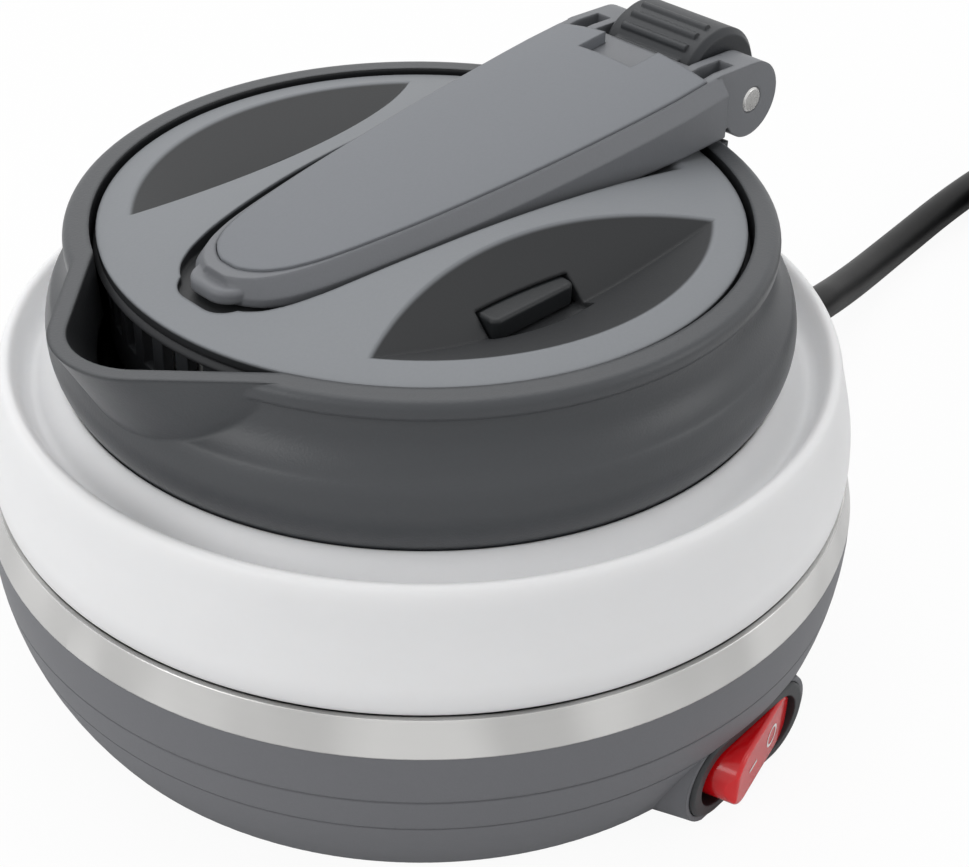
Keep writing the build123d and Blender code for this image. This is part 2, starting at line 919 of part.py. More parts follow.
def handle_outline(grow, front_grow, rear):
    """The handle seen from above: rounded front, sides that widen towards the hinge."""
    front = (-handle_front - front_grow, 0)
    side = handle_stations(grow, front_grow)
    ear = handle_ear_half + grow
    near = [front] + side + [(handle_ear_start, ear), (rear, ear)]
    return section(near + [flipped(place) for place in reversed(near[1:])])


def flipped(place):
    """The place across the kettle's middle."""
    return place[0], -place[1]


def trough_core(grow, drop):
    """What the folded handle's trough takes out of the lid."""
    gap = trough_front_gap + grow
    body = extrude(handle_outline(gap * trough_side_share, gap, lid_radius + overrun),
                   lid_apex_height + overrun)
    notch = block((-notch_reach - grow, -notch_half_width - grow, 0),
                  (-notch_reach / 2, notch_half_width + grow, lid_apex_height + overrun))
    notch = fillet(notch.edges().filter_by(Axis.Z).group_by(Axis.X)[0], notch_half_width * 0.7)
    over = side_slab([
        (-notch_reach - overrun, trough_front_height - drop),
        (-trough_front, trough_front_height - drop),
        (lid_radius, trough_rear_height - drop),
        (lid_radius + overrun, trough_rear_height - drop),
        (lid_radius + overrun, lid_apex_height + overrun),
        (-notch_reach - overrun, lid_apex_height + overrun),
    ], lid_radius)
    return (body + notch) & over


def lid_cover():
    foot = lid_edge_height - lid_edge_band
    cap = disc(lid_radius, foot, lid_apex_height) & dome(0)
    room = disc(lid_radius - lid_wall, 0, lid_apex_height) & dome(lid_wall)
    full = disc(lid_radius - lid_wall / 2, latch_plate_foot, lid_apex_height) & dome(0)
    body = cap - room
    cores = [around(recess_angle, recess_core()), around(-recess_angle, recess_core())]
    for core in cores:
        body += (Pos(0, 0, -recess_shell_drop) * core) & full
    body += trough_core(trough_wall, trough_wall) & full
    post = block((-latch_post_half * 2, -latch_post_reach, latch_plate_foot + latch_plate_sheet),
                 (0, latch_post_reach, trough_rear_height))
    body += post
    for x, y in lid_boss_places():
        body += Pos(x, y, 0) * disc(lid_boss_radius, lid_floor_height + lid_floor_sheet + seat_gap,
                                    trough_front_height)
    for core in cores:
        body -= core
    body -= trough_core(0, 0)
    for x, y in lid_boss_places():
        body -= Pos(x, y, 0) * disc(lid_screw_radius + seat_gap, 0,
                                    lid_floor_height + lid_screw_length + move_gap)
    window = block((-latch_front - move_gap, -latch_bar_reach - overrun / 4,
                    latch_bar_foot - move_gap),
                   (latch_rear + move_gap, -latch_inner_reach, latch_bar_head + seat_gap * 3))
    window &= disc(math.hypot(latch_front, latch_bar_reach) + move_gap, 0, lid_apex_height)
    body -= window
    body -= mirrored(window)
    return body


def lid_boss_places():
    return [(-lid_boss_front, lid_boss_side), (-lid_boss_front, -lid_boss_side), (lid_boss_rear, 0)]


def slot_angles():
    middle = (slot_count - 1) / 2
    return [180 + (i - middle) * slot_pitch_angle for i in range(slot_count)]


def strainer_skirt():
    top = lid_edge_height - lid_edge_band - seat_gap
    body = ring(skirt_radius, skirt_radius - skirt_wall, skirt_foot, top)
    slot = Pos(skirt_radius, 0, (slot_foot + slot_head) / 2) * Box(
        6 * skirt_wall, slot_width, slot_head - slot_foot)
    for angle in slot_angles():
        body -= around(angle, slot)
    gate = block((-latch_front + latch_neck_inset - move_gap, -skirt_radius - overrun,
                  latch_plate_foot - move_gap),
                 (latch_rear - latch_neck_inset + move_gap, 0,
                  latch_plate_foot + latch_plate_sheet + move_gap))
    body -= gate
    body -= mirrored(gate)
    return body


def strainer_mesh():
    strip = ring(mesh_radius, mesh_radius - mesh_sheet, mesh_foot, mesh_head)
    half = math.radians(mesh_span / 2)
    reach = mesh_radius + overrun
    wedge = Pos(0, 0, mesh_foot) * extrude(section([
        (0, 0),
        (-reach * math.cos(half), reach * math.sin(half)),
        (-reach, 0),
        (-reach * math.cos(half), -reach * math.sin(half)),
    ]), mesh_head - mesh_foot)
    return strip & wedge


def lid_seal():
    inner = skirt_radius + seat_gap / 2
    top = lid_edge_height - lid_edge_band - seat_gap
    body = ring(seal_radius, inner, seal_foot, top)
    return body


def lid_floor():
    top = lid_floor_height + lid_floor_sheet
    body = disc(lid_floor_radius, lid_floor_height, top)
    body -= block((-lid_radius, -lid_radius, 0), (-lid_floor_front, lid_radius, top))
    rim = ring(skirt_radius - skirt_wall - seat_gap, lid_floor_radius - lid_wall,
               lid_floor_height, top)
    body += rim
    for x, y in lid_boss_places():
        body -= Pos(x, y, 0) * disc(lid_screw_radius + seat_gap, 0, top)
    return body


def lid_screws():
    head = Pos(0, 0, -screw_head_height) * extrude(Circle(2 * lid_screw_radius), screw_head_height)
    shank = extrude(Circle(lid_screw_radius), lid_screw_length)
    one = Pos(0, 0, lid_floor_height) * (head + shank)
    return joined(Pos(x, y, 0) * one for x, y in lid_boss_places())


def latch():
    """The latch on the -Y side: bar, neck, leg, and the tongue under the collar's neck."""
    bar = block((-latch_front, -latch_bar_reach, latch_bar_foot),
                (latch_rear, -latch_bar_reach + latch_bar_depth, latch_bar_head))
    bar = fillet(bar.edges().filter_by(Axis.Z).group_by(Axis.Y)[0], latch_round)
    bar = fillet(bar.edges().group_by(Axis.Z)[-1].group_by(Axis.Y)[0], latch_round / 2)
    front = -latch_front + latch_neck_inset
    rear = latch_rear - latch_neck_inset
    neck = block((front, -latch_bar_reach + latch_bar_depth / 2, latch_bar_foot + latch_plate_sheet / 4),
                 (rear, -latch_inner_reach, latch_bar_head - latch_plate_sheet / 4))
    leg = block((front, -latch_inner_reach - latch_leg_sheet, latch_plate_foot),
                (rear, -latch_inner_reach, latch_bar_head - latch_plate_sheet / 4))
    plate = block((front, -latch_tongue_radius, latch_plate_foot),
                  (rear, -latch_inner_reach, latch_plate_foot + latch_plate_sheet))
    plate &= disc(latch_tongue_radius, 0, lid_apex_height)
    return bar + neck + leg + plate


def latch_spring():
    """The spring between the lid's post and the latch on the -Y side."""
    length = latch_inner_reach - latch_post_reach - 2 * seat_gap
    middle = -latch_post_half
    height = (latch_bar_foot + latch_bar_head) / 2 - latch_plate_sheet / 2
    body = spring(latch_spring_radius, latch_spring_wire, length, latch_spring_turns)
    return Pos(middle, -latch_post_reach - seat_gap, height) * Rot(90, 0, 0) * body


# Handle

def pin_point(radius, angle):
    """A point round the hinge pin, in the side view."""
    turn = math.radians(angle)
    return hinge_x + radius * math.cos(turn), hinge_height + radius * math.sin(turn)


def handle_side(foot_rise, top_drop):
    """The handle in the side view: flat foot, gently curved top, round ears."""
    entry = math.degrees(math.asin((hinge_height - handle_foot_rear - foot_rise) / ear_round))
    low = pin_point(ear_round, 180 + entry)
    return [
        (-tab_reach, handle_foot_front + foot_rise),
        (handle_top_end, handle_foot_rear + foot_rise),
        low,
        (pin_point(ear_round, 225), pin_point(ear_round, 270)),
        (pin_point(ear_round, 0), pin_point(ear_round, 90)),
        (handle_top_end, handle_top_rear - top_drop),
        ((0, handle_top_middle - top_drop), (-tab_reach, handle_top_front - top_drop)),
    ]


def handle_top(x):
    """Height of the handle's top edge at a place along it."""
    middle, height, r = circle_through(
        (-tab_reach, handle_top_front), (0, handle_top_middle), (handle_top_end, handle_top_rear))
    return height - math.sqrt(r * r - (x - middle) ** 2)


def across(x, face):
    """A face drawn in (y, z) placed square across the handle."""
    return Plane(origin=(x, 0, 0), x_dir=(0, 1, 0), z_dir=(1, 0, 0)) * face


def bevelled_slice(x, half):
    """A slice of the handle frame: upright sides, then a bevel up to the pad's edge."""
    top = handle_top(x)
    in_share = min(handle_bevel_in, half / 2)
    crease = top - handle_bevel_down
    foot = handle_foot_front
    return across(x, section([
        (-half, foot), (half, foot), (half, crease), (half - in_share, top),
        (in_share - half, top), (-half, crease),
    ]))


def crowned_slice(x, half, sink):
    """A slice of the pad: flat foot, crowned top."""
    edge = handle_top(x) + pad_proud
    crown = half * half / (2 * pad_crown_radius)
    return across(x, section([
        (-half, edge - pad_sink - sink), (half, edge - pad_sink - sink), (half, edge),
        ((0, edge + crown), (-half, edge)),
    ]))


def upright(low, high):
    """A box between two places seen from above, through the whole height."""
    return block((*low, 0), (*high, lid_apex_height + overrun))


def handle_frame():
    body = loft([bevelled_slice(x, half) for x, half in handle_stations(0, 0)], ruled=True)
    ears = side_slab(handle_side(0, 0), handle_ear_half)
    ears &= upright((handle_top_end - sheet, -handle_ear_half), (hinge_x + overrun, handle_ear_half))
    foot = side_slab([
        (-tab_reach, 0), (-tab_reach, handle_foot_front), (handle_top_end, handle_foot_rear),
        (handle_top_end, 0)], overrun)
    body = body - foot + ears
    body -= cross_bar(crossbar_clear, ear_inner_half, hinge_x, hinge_height)
    body -= upright((hinge_x, -ear_inner_half), (hinge_x + overrun, ear_inner_half))
    inside = loft([
        across(x, section([
            (-half, 0), (half, 0), (half, handle_top(x) - pad_sink - handle_shell),
            (-half, handle_top(x) - pad_sink - handle_shell)]))
        for x, half in handle_stations(-handle_shell, -handle_shell)], ruled=True)
    inside &= upright((-handle_front, -overrun), (pad_notch_front - crossbar_sheet, overrun))
    hollow = inside
    for share in handle_rib_shares:
        x = share * (pad_notch_front + handle_front) - handle_front
        hollow -= upright((x - crossbar_sheet / 2, -overrun), (x + crossbar_sheet / 2, overrun))
    tab = block((-tab_reach, -tab_half_width, tab_foot),
                (-handle_front + tab_round, tab_half_width, tab_top))
    tab = fillet(tab.edges().filter_by(Axis.Z).group_by(Axis.X)[0], tab_round)
    tab = fillet(tab.edges().group_by(Axis.Z)[-1].group_by(Axis.X)[0], sheet)
    body += tab
    body -= hollow
    body -= pad_core(seat_gap, seat_gap)
    pocket = block((ear_pocket_front, ear_inner_half + ear_wall, ear_pocket_foot),
                   (ear_pocket_rear, handle_ear_half - ear_wall, lid_apex_height + overrun))
    body -= pocket
    body -= mirrored(pocket)
    return body - cross_bar(pin_radius + pin_slip, overrun, hinge_x, hinge_height)


def pad_core(grow, sink):
    """The crowned top cover of the handle, or its seat when grown."""
    body = loft([crowned_slice(x, half, sink)
                 for x, half in handle_stations(grow - pad_inset, grow - pad_inset)], ruled=True)
    body -= upright((pad_notch_front + grow, grow - pad_notch_half_width),
                    (hinge_x + overrun, pad_notch_half_width - grow))
    return body - upright((pad_end + grow, -overrun), (hinge_x + overrun, overrun))


def handle_pad():
    return pad_core(0, 0)


# Switch

def pivot_distance():
    return switch_face - rocker_depth


def rocker_pivot(radius, half_length):
    """An upright cylinder at the rocker's pivot, before it is placed at the switch."""
    return Pos(pivot_distance(), 0, 0) * extrude(Circle(radius), half_length, both=True)


def switch_bezel():
    sleeve_back = switch_face - bezel_depth
    body = oval(bezel_half_length, bezel_half_height, switch_face - bezel_sheet, switch_face)
    body = fillet(body.edges().group_by(Axis.X)[-1], bezel_sheet / 3)
    body += oval(switch_mouth_half_length + bezel_wall, rocker_half_height + move_gap / 2 + bezel_wall,
                 sleeve_back, switch_face - bezel_sheet)
    body -= oval(switch_mouth_half_length, rocker_half_height + move_gap / 2,
                 sleeve_back - overrun, switch_face + overrun)
    body -= rocker_pivot(rocker_stud_radius + seat_gap, rocker_half_height + bezel_wall)
    return at_switch(body)


def switch_box():
    front = switch_face - bezel_depth - seat_gap
    back = front - switch_box_depth
    body = block((back, -switch_box_half_length, -switch_box_half_height),
                 (front, switch_box_half_length, switch_box_half_height))
    for share in (-0.6, 0.0, 0.6):
        y = share * switch_box_half_length
        body += block((back - switch_tab_length, y - sheet / 2, -2 * sheet),
                      (back, y + sheet / 2, 2 * sheet))
    return at_switch(body)


def rocker():
    body = oval(rocker_half_length, rocker_half_height,
                pivot_distance() - rocker_tail, switch_face + rocker_proud)
    body &= rocker_pivot(rocker_swing_radius, rocker_half_height)
    body = fillet(body.edges().group_by(Axis.X)[-1], rocker_round)
    body += rocker_pivot(rocker_stud_radius, rocker_half_height + rocker_stud_length)
    x = pivot_distance()
    return at_switch(Pos(x, 0, 0) * Rot(0, 0, rocker_tilt) * Pos(-x, 0, 0) * body)


# Cord, coil, tie and plug

def cord_gland():
    wall = base_radius_at(cord_exit_height)
    return Pos(0, 0, cord_exit_height) * revolve(section([
        (gland_start, 0),
        (gland_start, gland_flange_radius),
        (gland_start + gland_flange_sheet, gland_flange_radius),
        (gland_start + gland_flange_sheet, gland_neck_radius),
        (wall + base_wall / 2, gland_neck_radius),
        (gland_end, gland_tip_radius),
        (gland_end, 0),
    ]), Axis.X)


def route_radii():
    """The radius of the arc at each corner of the cord's route."""
    points = [Vector(*place) for place in cord_route]
    radii = []
    for before, here, after in zip(points, points[1:], points[2:]):
        turn = math.radians((here - before).get_angle(after - here))
        shorter = min((here - before).length, (after - here).length)
        radii.append(route_share * shorter / math.tan(turn / 2))
    return radii


def power_cord():
    radii = route_radii()
    print("cord arcs", [round(r) for r in radii])
    path = FilletPolyline(*cord_route, radius=radii)
    tube = sweep(Plane(origin=path @ 0, z_dir=path % 0) * Circle(cord_radius), path)
    length = path.length
    print("cord run", round(length, 1), "volume share",
          round(tube.volume / (length * math.pi * cord_radius ** 2), 4))
    return tube


def coil_start():
    """Where the loops begin, their heading there and the coil's middle."""
    last = Vector(*cord_route[-1])
    run = last - Vector(*cord_route[-2])
    heading = run.normalized()
    right = Vector(heading.Y, -heading.X, 0)
    start = last + heading * 2 * cord_radius
    return start, heading, start + right * coil_outer_radius


def coil_radius(turns):
    """Radius after so many turns: inward at a steady rate, then out again."""
    inward = coil_turns + 0.25
    return coil_outer_radius - coil_pitch * (inward - abs(turns - inward))


def coil_level(turns):
    """Height above the first layer: the climb lies in the half turn of the reversal."""
    share = min(max((turns - coil_turns) / 0.5, 0), 1)
    return coil_pitch * share * share * (3 - 2 * share)


def coil_place(turns):
    start, heading, middle = coil_start()
    angle = math.atan2(heading.X, -heading.Y) - 2 * math.pi * turns
    r = coil_radius(turns)
    return Vector(middle.X + r * math.cos(angle), middle.Y + r * math.sin(angle),
                  middle.Z + coil_level(turns))


def coil_heading(turns):
    step = 1e-4
    total = 2 * coil_turns + 0.5
    before = coil_place(max(turns - step, 0))
    after = coil_place(min(turns + step, total))
    return (after - before).normalized()


def coil_ends():
    """The coil's last place on its loops and the end of its straight lead."""
    total = 2 * coil_turns + 0.5
    leave = coil_place(total)
    way = coil_heading(total)
    way = Vector(way.X, way.Y, 0).normalized()
    return leave, way, leave + way * (2 * cord_radius + plug_lead)


def cord_coil():
    start, heading, middle = coil_start()
    total = 2 * coil_turns + 0.5
    steps = round(total * coil_steps)
    turns = [total * i / steps for i in range(steps + 1)]
    points = [coil_place(t) for t in turns]
    ways = [coil_heading(t) for t in turns]
    leave, way, end = coil_ends()
    ways[0] = heading
    ways[-1] = way
    lead_in = Line(start - heading * 2 * cord_radius, start)
    lead_out = Line(leave, end)
    loops = joined_arcs(points, ways)
    path = Wire([lead_in] + list(loops.edges()) + [lead_out])
    tube = sweep(Plane(origin=path @ 0, z_dir=path % 0) * Circle(cord_radius), path)
    print("coil run", round(path.length, 1), "volume share",
          round(tube.volume / (path.length * math.pi * cord_radius ** 2), 4))
    print("coil least gap", round(coil_gap(path), 2))
    return tube


def coil_gap(path):
    """Least gap of the coil to itself, measured on points along its middle line."""
    count = round(path.length / cord_radius)
    points = [path @ (i / count) for i in range(count + 1)]
    apart = round(4 * coil_outer_radius / cord_radius)
    least = coil_outer_radius
    for i, p in enumerate(points):
        for q in points[i + apart // 2:]:
            least = min(least, (p - q).length)
    return least - 2 * cord_radius


def cord_tie():
    """A closed strap round both layers where each has two turns."""
    start, heading, middle = coil_start()
    place = 0.25
    angle = math.degrees(math.atan2(heading.X, -heading.Y)) - 360 * place
    far = coil_radius(place) + cord_radius + tie_gap
    near = coil_radius(place + 1) - cord_radius - tie_gap
    foot = middle.Z - cord_radius - tie_gap
    top = middle.Z + coil_pitch + cord_radius + tie_gap
    outside = block((near - tie_sheet, -tie_width / 2, foot - tie_sheet),
                    (far + tie_sheet, tie_width / 2, top + tie_sheet))
    outside = fillet(outside.edges().filter_by(Axis.Y), cord_radius / 2 + tie_sheet)
    inside = block((near, -tie_width, foot), (far, tie_width, top))
    inside = fillet(inside.edges().filter_by(Axis.Y), cord_radius / 2)
    return Pos(middle.X, middle.Y, 0) * Rot(0, 0, angle) * (outside - inside)


def at_plug(shape):
    """Place a shape drawn at the plug: +X towards the pins, zero at the cord's end."""
    leave, way, end = coil_ends()
    return Pos(end.X, end.Y, end.Z) * Rot(0, 0, math.degrees(math.atan2(way.Y, way.X))) * shape


def plug_body():
    relief = revolve(section([
        (0, 0), (0, gland_tip_radius), (plug_relief_length, gland_neck_radius),
        (plug_relief_length, 0)]), Axis.X)
    grip = loft([
        Plane.YZ.offset(plug_relief_length) * RectangleRounded(
            2 * plug_back_half_width, 1.4 * plug_back_half_width, plug_round),
        Plane.YZ.offset(plug_relief_length + plug_body_length * 0.4) * RectangleRounded(
            2 * plug_half_width, 2 * plug_half_height, plug_round),
        Plane.YZ.offset(plug_relief_length + plug_body_length) * RectangleRounded(
            2 * plug_half_width, 2 * plug_half_height, plug_round),
    ], ruled=True)
    return at_plug(relief + grip)


def plug_pins():
    face = plug_relief_length + plug_body_length + seat_gap / 2
    pins = []
    for side in (-1, 1):
        y = side * blade_spacing / 2
        pins.append(block((face, y - blade_sheet / 2, -blade_width / 2),
                          (face + blade_length, y + blade_sheet / 2, blade_width / 2)))
    pins.append(Pos(0, 0, -plug_half_height / 2) * extrude(
        Plane.YZ.offset(face) * Circle(earth_radius), earth_length))
    return at_plug(joined(pins))


pieces = {
    "base_housing": base_housing,
    "bottom_cover": bottom_cover,
    "cover_screws": cover_screws,
    "rubber_feet": rubber_feet,
    "steel_pan": steel_pan,
    "lower_clamp_ring": lower_clamp_ring,
    "heating_plate": heating_plate,
    "heating_element": heating_element,
    "thermostat": thermostat,
    "thermal_fuse": thermal_fuse,
    "terminal_block": terminal_block,
    "silicone_body": silicone_body,
    "cuff_clamp_ring": cuff_clamp_ring,
    "collar": collar_body,
    "hinge_pin": hinge_pin,
    "lock_button": lock_button,
    "lock_spring": lock_spring,
    "lid_cover": lid_cover,
    "strainer_skirt": strainer_skirt,
    "strainer_mesh": strainer_mesh,
    "lid_seal": lid_seal,
    "lid_floor": lid_floor,
    "lid_screws": lid_screws,
    "latch_near": latch,
    "latch_far": lambda: mirrored(latch()),
    "latch_spring_near": latch_spring,
    "latch_spring_far": lambda: mirrored(latch_spring()),
    "handle_frame": handle_frame,
    "handle_pad": handle_pad,
    "switch_bezel": switch_bezel,
    "switch_box": switch_box,
    "rocker": rocker,
    "cord_gland": cord_gland,
    "power_cord": power_cord,
    "cord_coil": cord_coil,
    "cord_tie": cord_tie,
    "plug_body": plug_body,
    "plug_pins": plug_pins,
}
for name, make in pieces.items():
    save(make(), name)
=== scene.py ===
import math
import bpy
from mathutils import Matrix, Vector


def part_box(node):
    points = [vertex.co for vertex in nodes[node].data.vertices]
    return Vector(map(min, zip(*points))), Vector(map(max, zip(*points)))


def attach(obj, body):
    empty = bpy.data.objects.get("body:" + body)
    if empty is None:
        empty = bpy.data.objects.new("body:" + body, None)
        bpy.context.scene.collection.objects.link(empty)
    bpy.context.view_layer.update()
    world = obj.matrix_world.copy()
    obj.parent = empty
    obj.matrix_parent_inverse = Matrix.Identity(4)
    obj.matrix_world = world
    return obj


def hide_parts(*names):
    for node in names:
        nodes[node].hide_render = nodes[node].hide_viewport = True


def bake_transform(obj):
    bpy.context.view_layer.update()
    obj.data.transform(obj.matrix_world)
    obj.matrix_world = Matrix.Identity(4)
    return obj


bl_info = {
    "name": "Folding travel kettle",
    "version": (1, 0, 0),
    "blender": (4, 5, 0),
    "location": "3D View > Sidebar > Kettle",
    "description": "Dresses the folding kettle with its silicone body, cord, finishes and studio",
    "category": "Object",
}

import bmesh
import bpy
from bpy.props import FloatProperty, FloatVectorProperty, IntProperty, PointerProperty
from bpy.types import Operator, Panel, PropertyGroup
from mathutils import Matrix, Vector

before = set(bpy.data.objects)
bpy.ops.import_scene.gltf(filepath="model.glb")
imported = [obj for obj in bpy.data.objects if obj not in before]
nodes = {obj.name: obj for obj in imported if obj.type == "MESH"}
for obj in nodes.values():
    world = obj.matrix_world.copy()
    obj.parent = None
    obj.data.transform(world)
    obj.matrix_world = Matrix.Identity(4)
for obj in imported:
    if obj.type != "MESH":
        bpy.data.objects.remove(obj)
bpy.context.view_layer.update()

MM = 0.001
WHITE = (1, 1, 1, 1)
CORD_DIAMETER = 7.0     # in millimetres, as in the part's source


def screen(red, green, blue):
    """A colour as a screen shows it, 0 to 255, turned into light by the sRGB curve."""
    light = []
    for part in (red, green, blue):
        share = part / 255
        light.append(share / 12.92 if share <= 0.04045 else ((share + 0.055) / 1.055) ** 2.4)
    return tuple(light)


def colour(label, text, shade):
    """A colour that the panel shows."""
    return FloatVectorProperty(name=label, description=text, subtype="COLOR", size=3,
                               min=0, max=1, default=shade)


def length(label, text, value):
    """A length that the panel shows."""
    return FloatProperty(name=label, description=text, unit="LENGTH", subtype="DISTANCE",
                         precision=5, default=value)


class KettleColours(PropertyGroup):
    """The kettle's colours."""

    base: colour("Base", "Plastic of the base's shell", screen(112, 113, 117))
    collar: colour("Collar", "Plastic of the ring that pours", screen(73, 75, 78))
    button: colour("Button", "Plastic of the lock button", screen(52, 54, 57))
    lid: colour("Lid", "Plastic of the lid", screen(131, 134, 138))
    strainer: colour("Strainer", "Plastic of the strainer under the lid", screen(60, 62, 65))
    handle: colour("Handle", "Plastic of the handle's frame", screen(117, 119, 123))
    pad: colour("Pad", "Plastic of the handle's upper pad", screen(120, 123, 128))
    latch: colour("Latch", "Plastic of the lid's latches", screen(38, 40, 42))
    bezel: colour("Bezel", "Plastic round the switch", screen(58, 60, 62))
    inner: colour("Inside parts", "Plastic of the hidden holders", screen(40, 40, 42))
    terminal: colour("Terminals", "Plastic of the terminal block", screen(218, 214, 200))
    sleeve: colour("Fuse sleeve", "Glass fibre over the fuse", screen(214, 206, 182))
    red: colour("Switch", "Red see-through plastic of the switch", screen(238, 16, 26))
    mark: colour("Switch marks", "Paint of the marks on the switch", screen(252, 246, 244))
    silicone: colour("Silicone", "The folding body's silicone", screen(248, 248, 249))
    seal: colour("Seal", "Rubber of the lid's seal", screen(52, 53, 55))
    foot: colour("Feet", "Rubber of the feet", screen(38, 38, 39))
    cord: colour("Cord", "Rubber of the cord and plug", screen(9, 9, 10))
    steel: colour("Steel", "Brushed stainless steel", (0.62, 0.616, 0.606))
    mesh: colour("Mesh", "Steel of the strainer's mesh", (0.86, 0.86, 0.85))
    aluminium: colour("Aluminium", "Cast heating plate", (0.62, 0.62, 0.63))
    brass: colour("Brass", "Nickelled brass of the plug's blades", (0.62, 0.56, 0.44))


class KettleSizes(PropertyGroup):
    """Sizes that belong to the look alone."""

    edge: length("Edge", "Radius of the plastic's small edges", 0.45 * MM)
    cord_diameter: length("Cord", "Thickness of the mains cord", CORD_DIAMETER * MM)
    around: IntProperty(name="Around", description="Points round each turned piece",
                        min=48, max=512, default=256)


# Shader nodes

MIX_AMOUNT, MIX_FIRST, MIX_SECOND, MIX_RESULT = 0, 6, 7, 2     # sockets of a colour mix
EDGE_SAMPLES = 6
FACING = (-0.05, 0.35)      # a wall begins to face the axis, and faces it wholly


def feed(tree, socket, value):
    """Links an output to a socket, or sets the socket to a plain value."""
    if isinstance(value, Flow):
        value = value.socket
    if isinstance(value, bpy.types.NodeSocket):
        tree.links.new(value, socket)
    else:
        socket.default_value = value


def add_node(tree, kind, settings=None, sockets=None):
    """Adds one shader node with its settings and what feeds its inputs."""
    made = tree.nodes.new(kind)
    for name, value in (settings or {}).items():
        setattr(made, name, value)
    for name, value in (sockets or {}).items():
        feed(tree, made.inputs[name], value)
    return made


class Flow:
    """A number on its way through a material, so that its maths reads plainly."""

    def __init__(self, finish, socket):
        self.finish = finish
        self.socket = socket

    def maths(self, operation, *values):
        """The operation on the values; it takes this number only where it is one of them."""
        sockets = dict(enumerate(values))
        node = self.finish.node("ShaderNodeMath", {"operation": operation}, sockets)
        return Flow(self.finish, node.outputs[0])

    def __add__(self, other):
        return self.maths("ADD", self, other)

    __radd__ = __add__

    def __mul__(self, other):
        return self.maths("MULTIPLY", self, other)

    def __sub__(self, other):
        return self.maths("SUBTRACT", self, other)

    def __rsub__(self, other):
        return self.maths("SUBTRACT", other, self)

    def __truediv__(self, other):
        return self.maths("DIVIDE", self, other)

    def __pow__(self, other):
        return self.maths("POWER", self, other)

    def __abs__(self):
        return self.maths("ABSOLUTE", self)

    def between(self, low, high):
        """0 below low, 1 above high, and smooth from one to the other."""
        node = self.finish.node("ShaderNodeMapRange", {"interpolation_type": "SMOOTHSTEP"},
                                {"Value": self, "From Min": low, "From Max": high})
        return Flow(self.finish, node.outputs[0])

    def near(self, place, half_width):
        """1 at place, 0 from half_width away."""
        return 1 - abs(self - place).between(0, half_width)


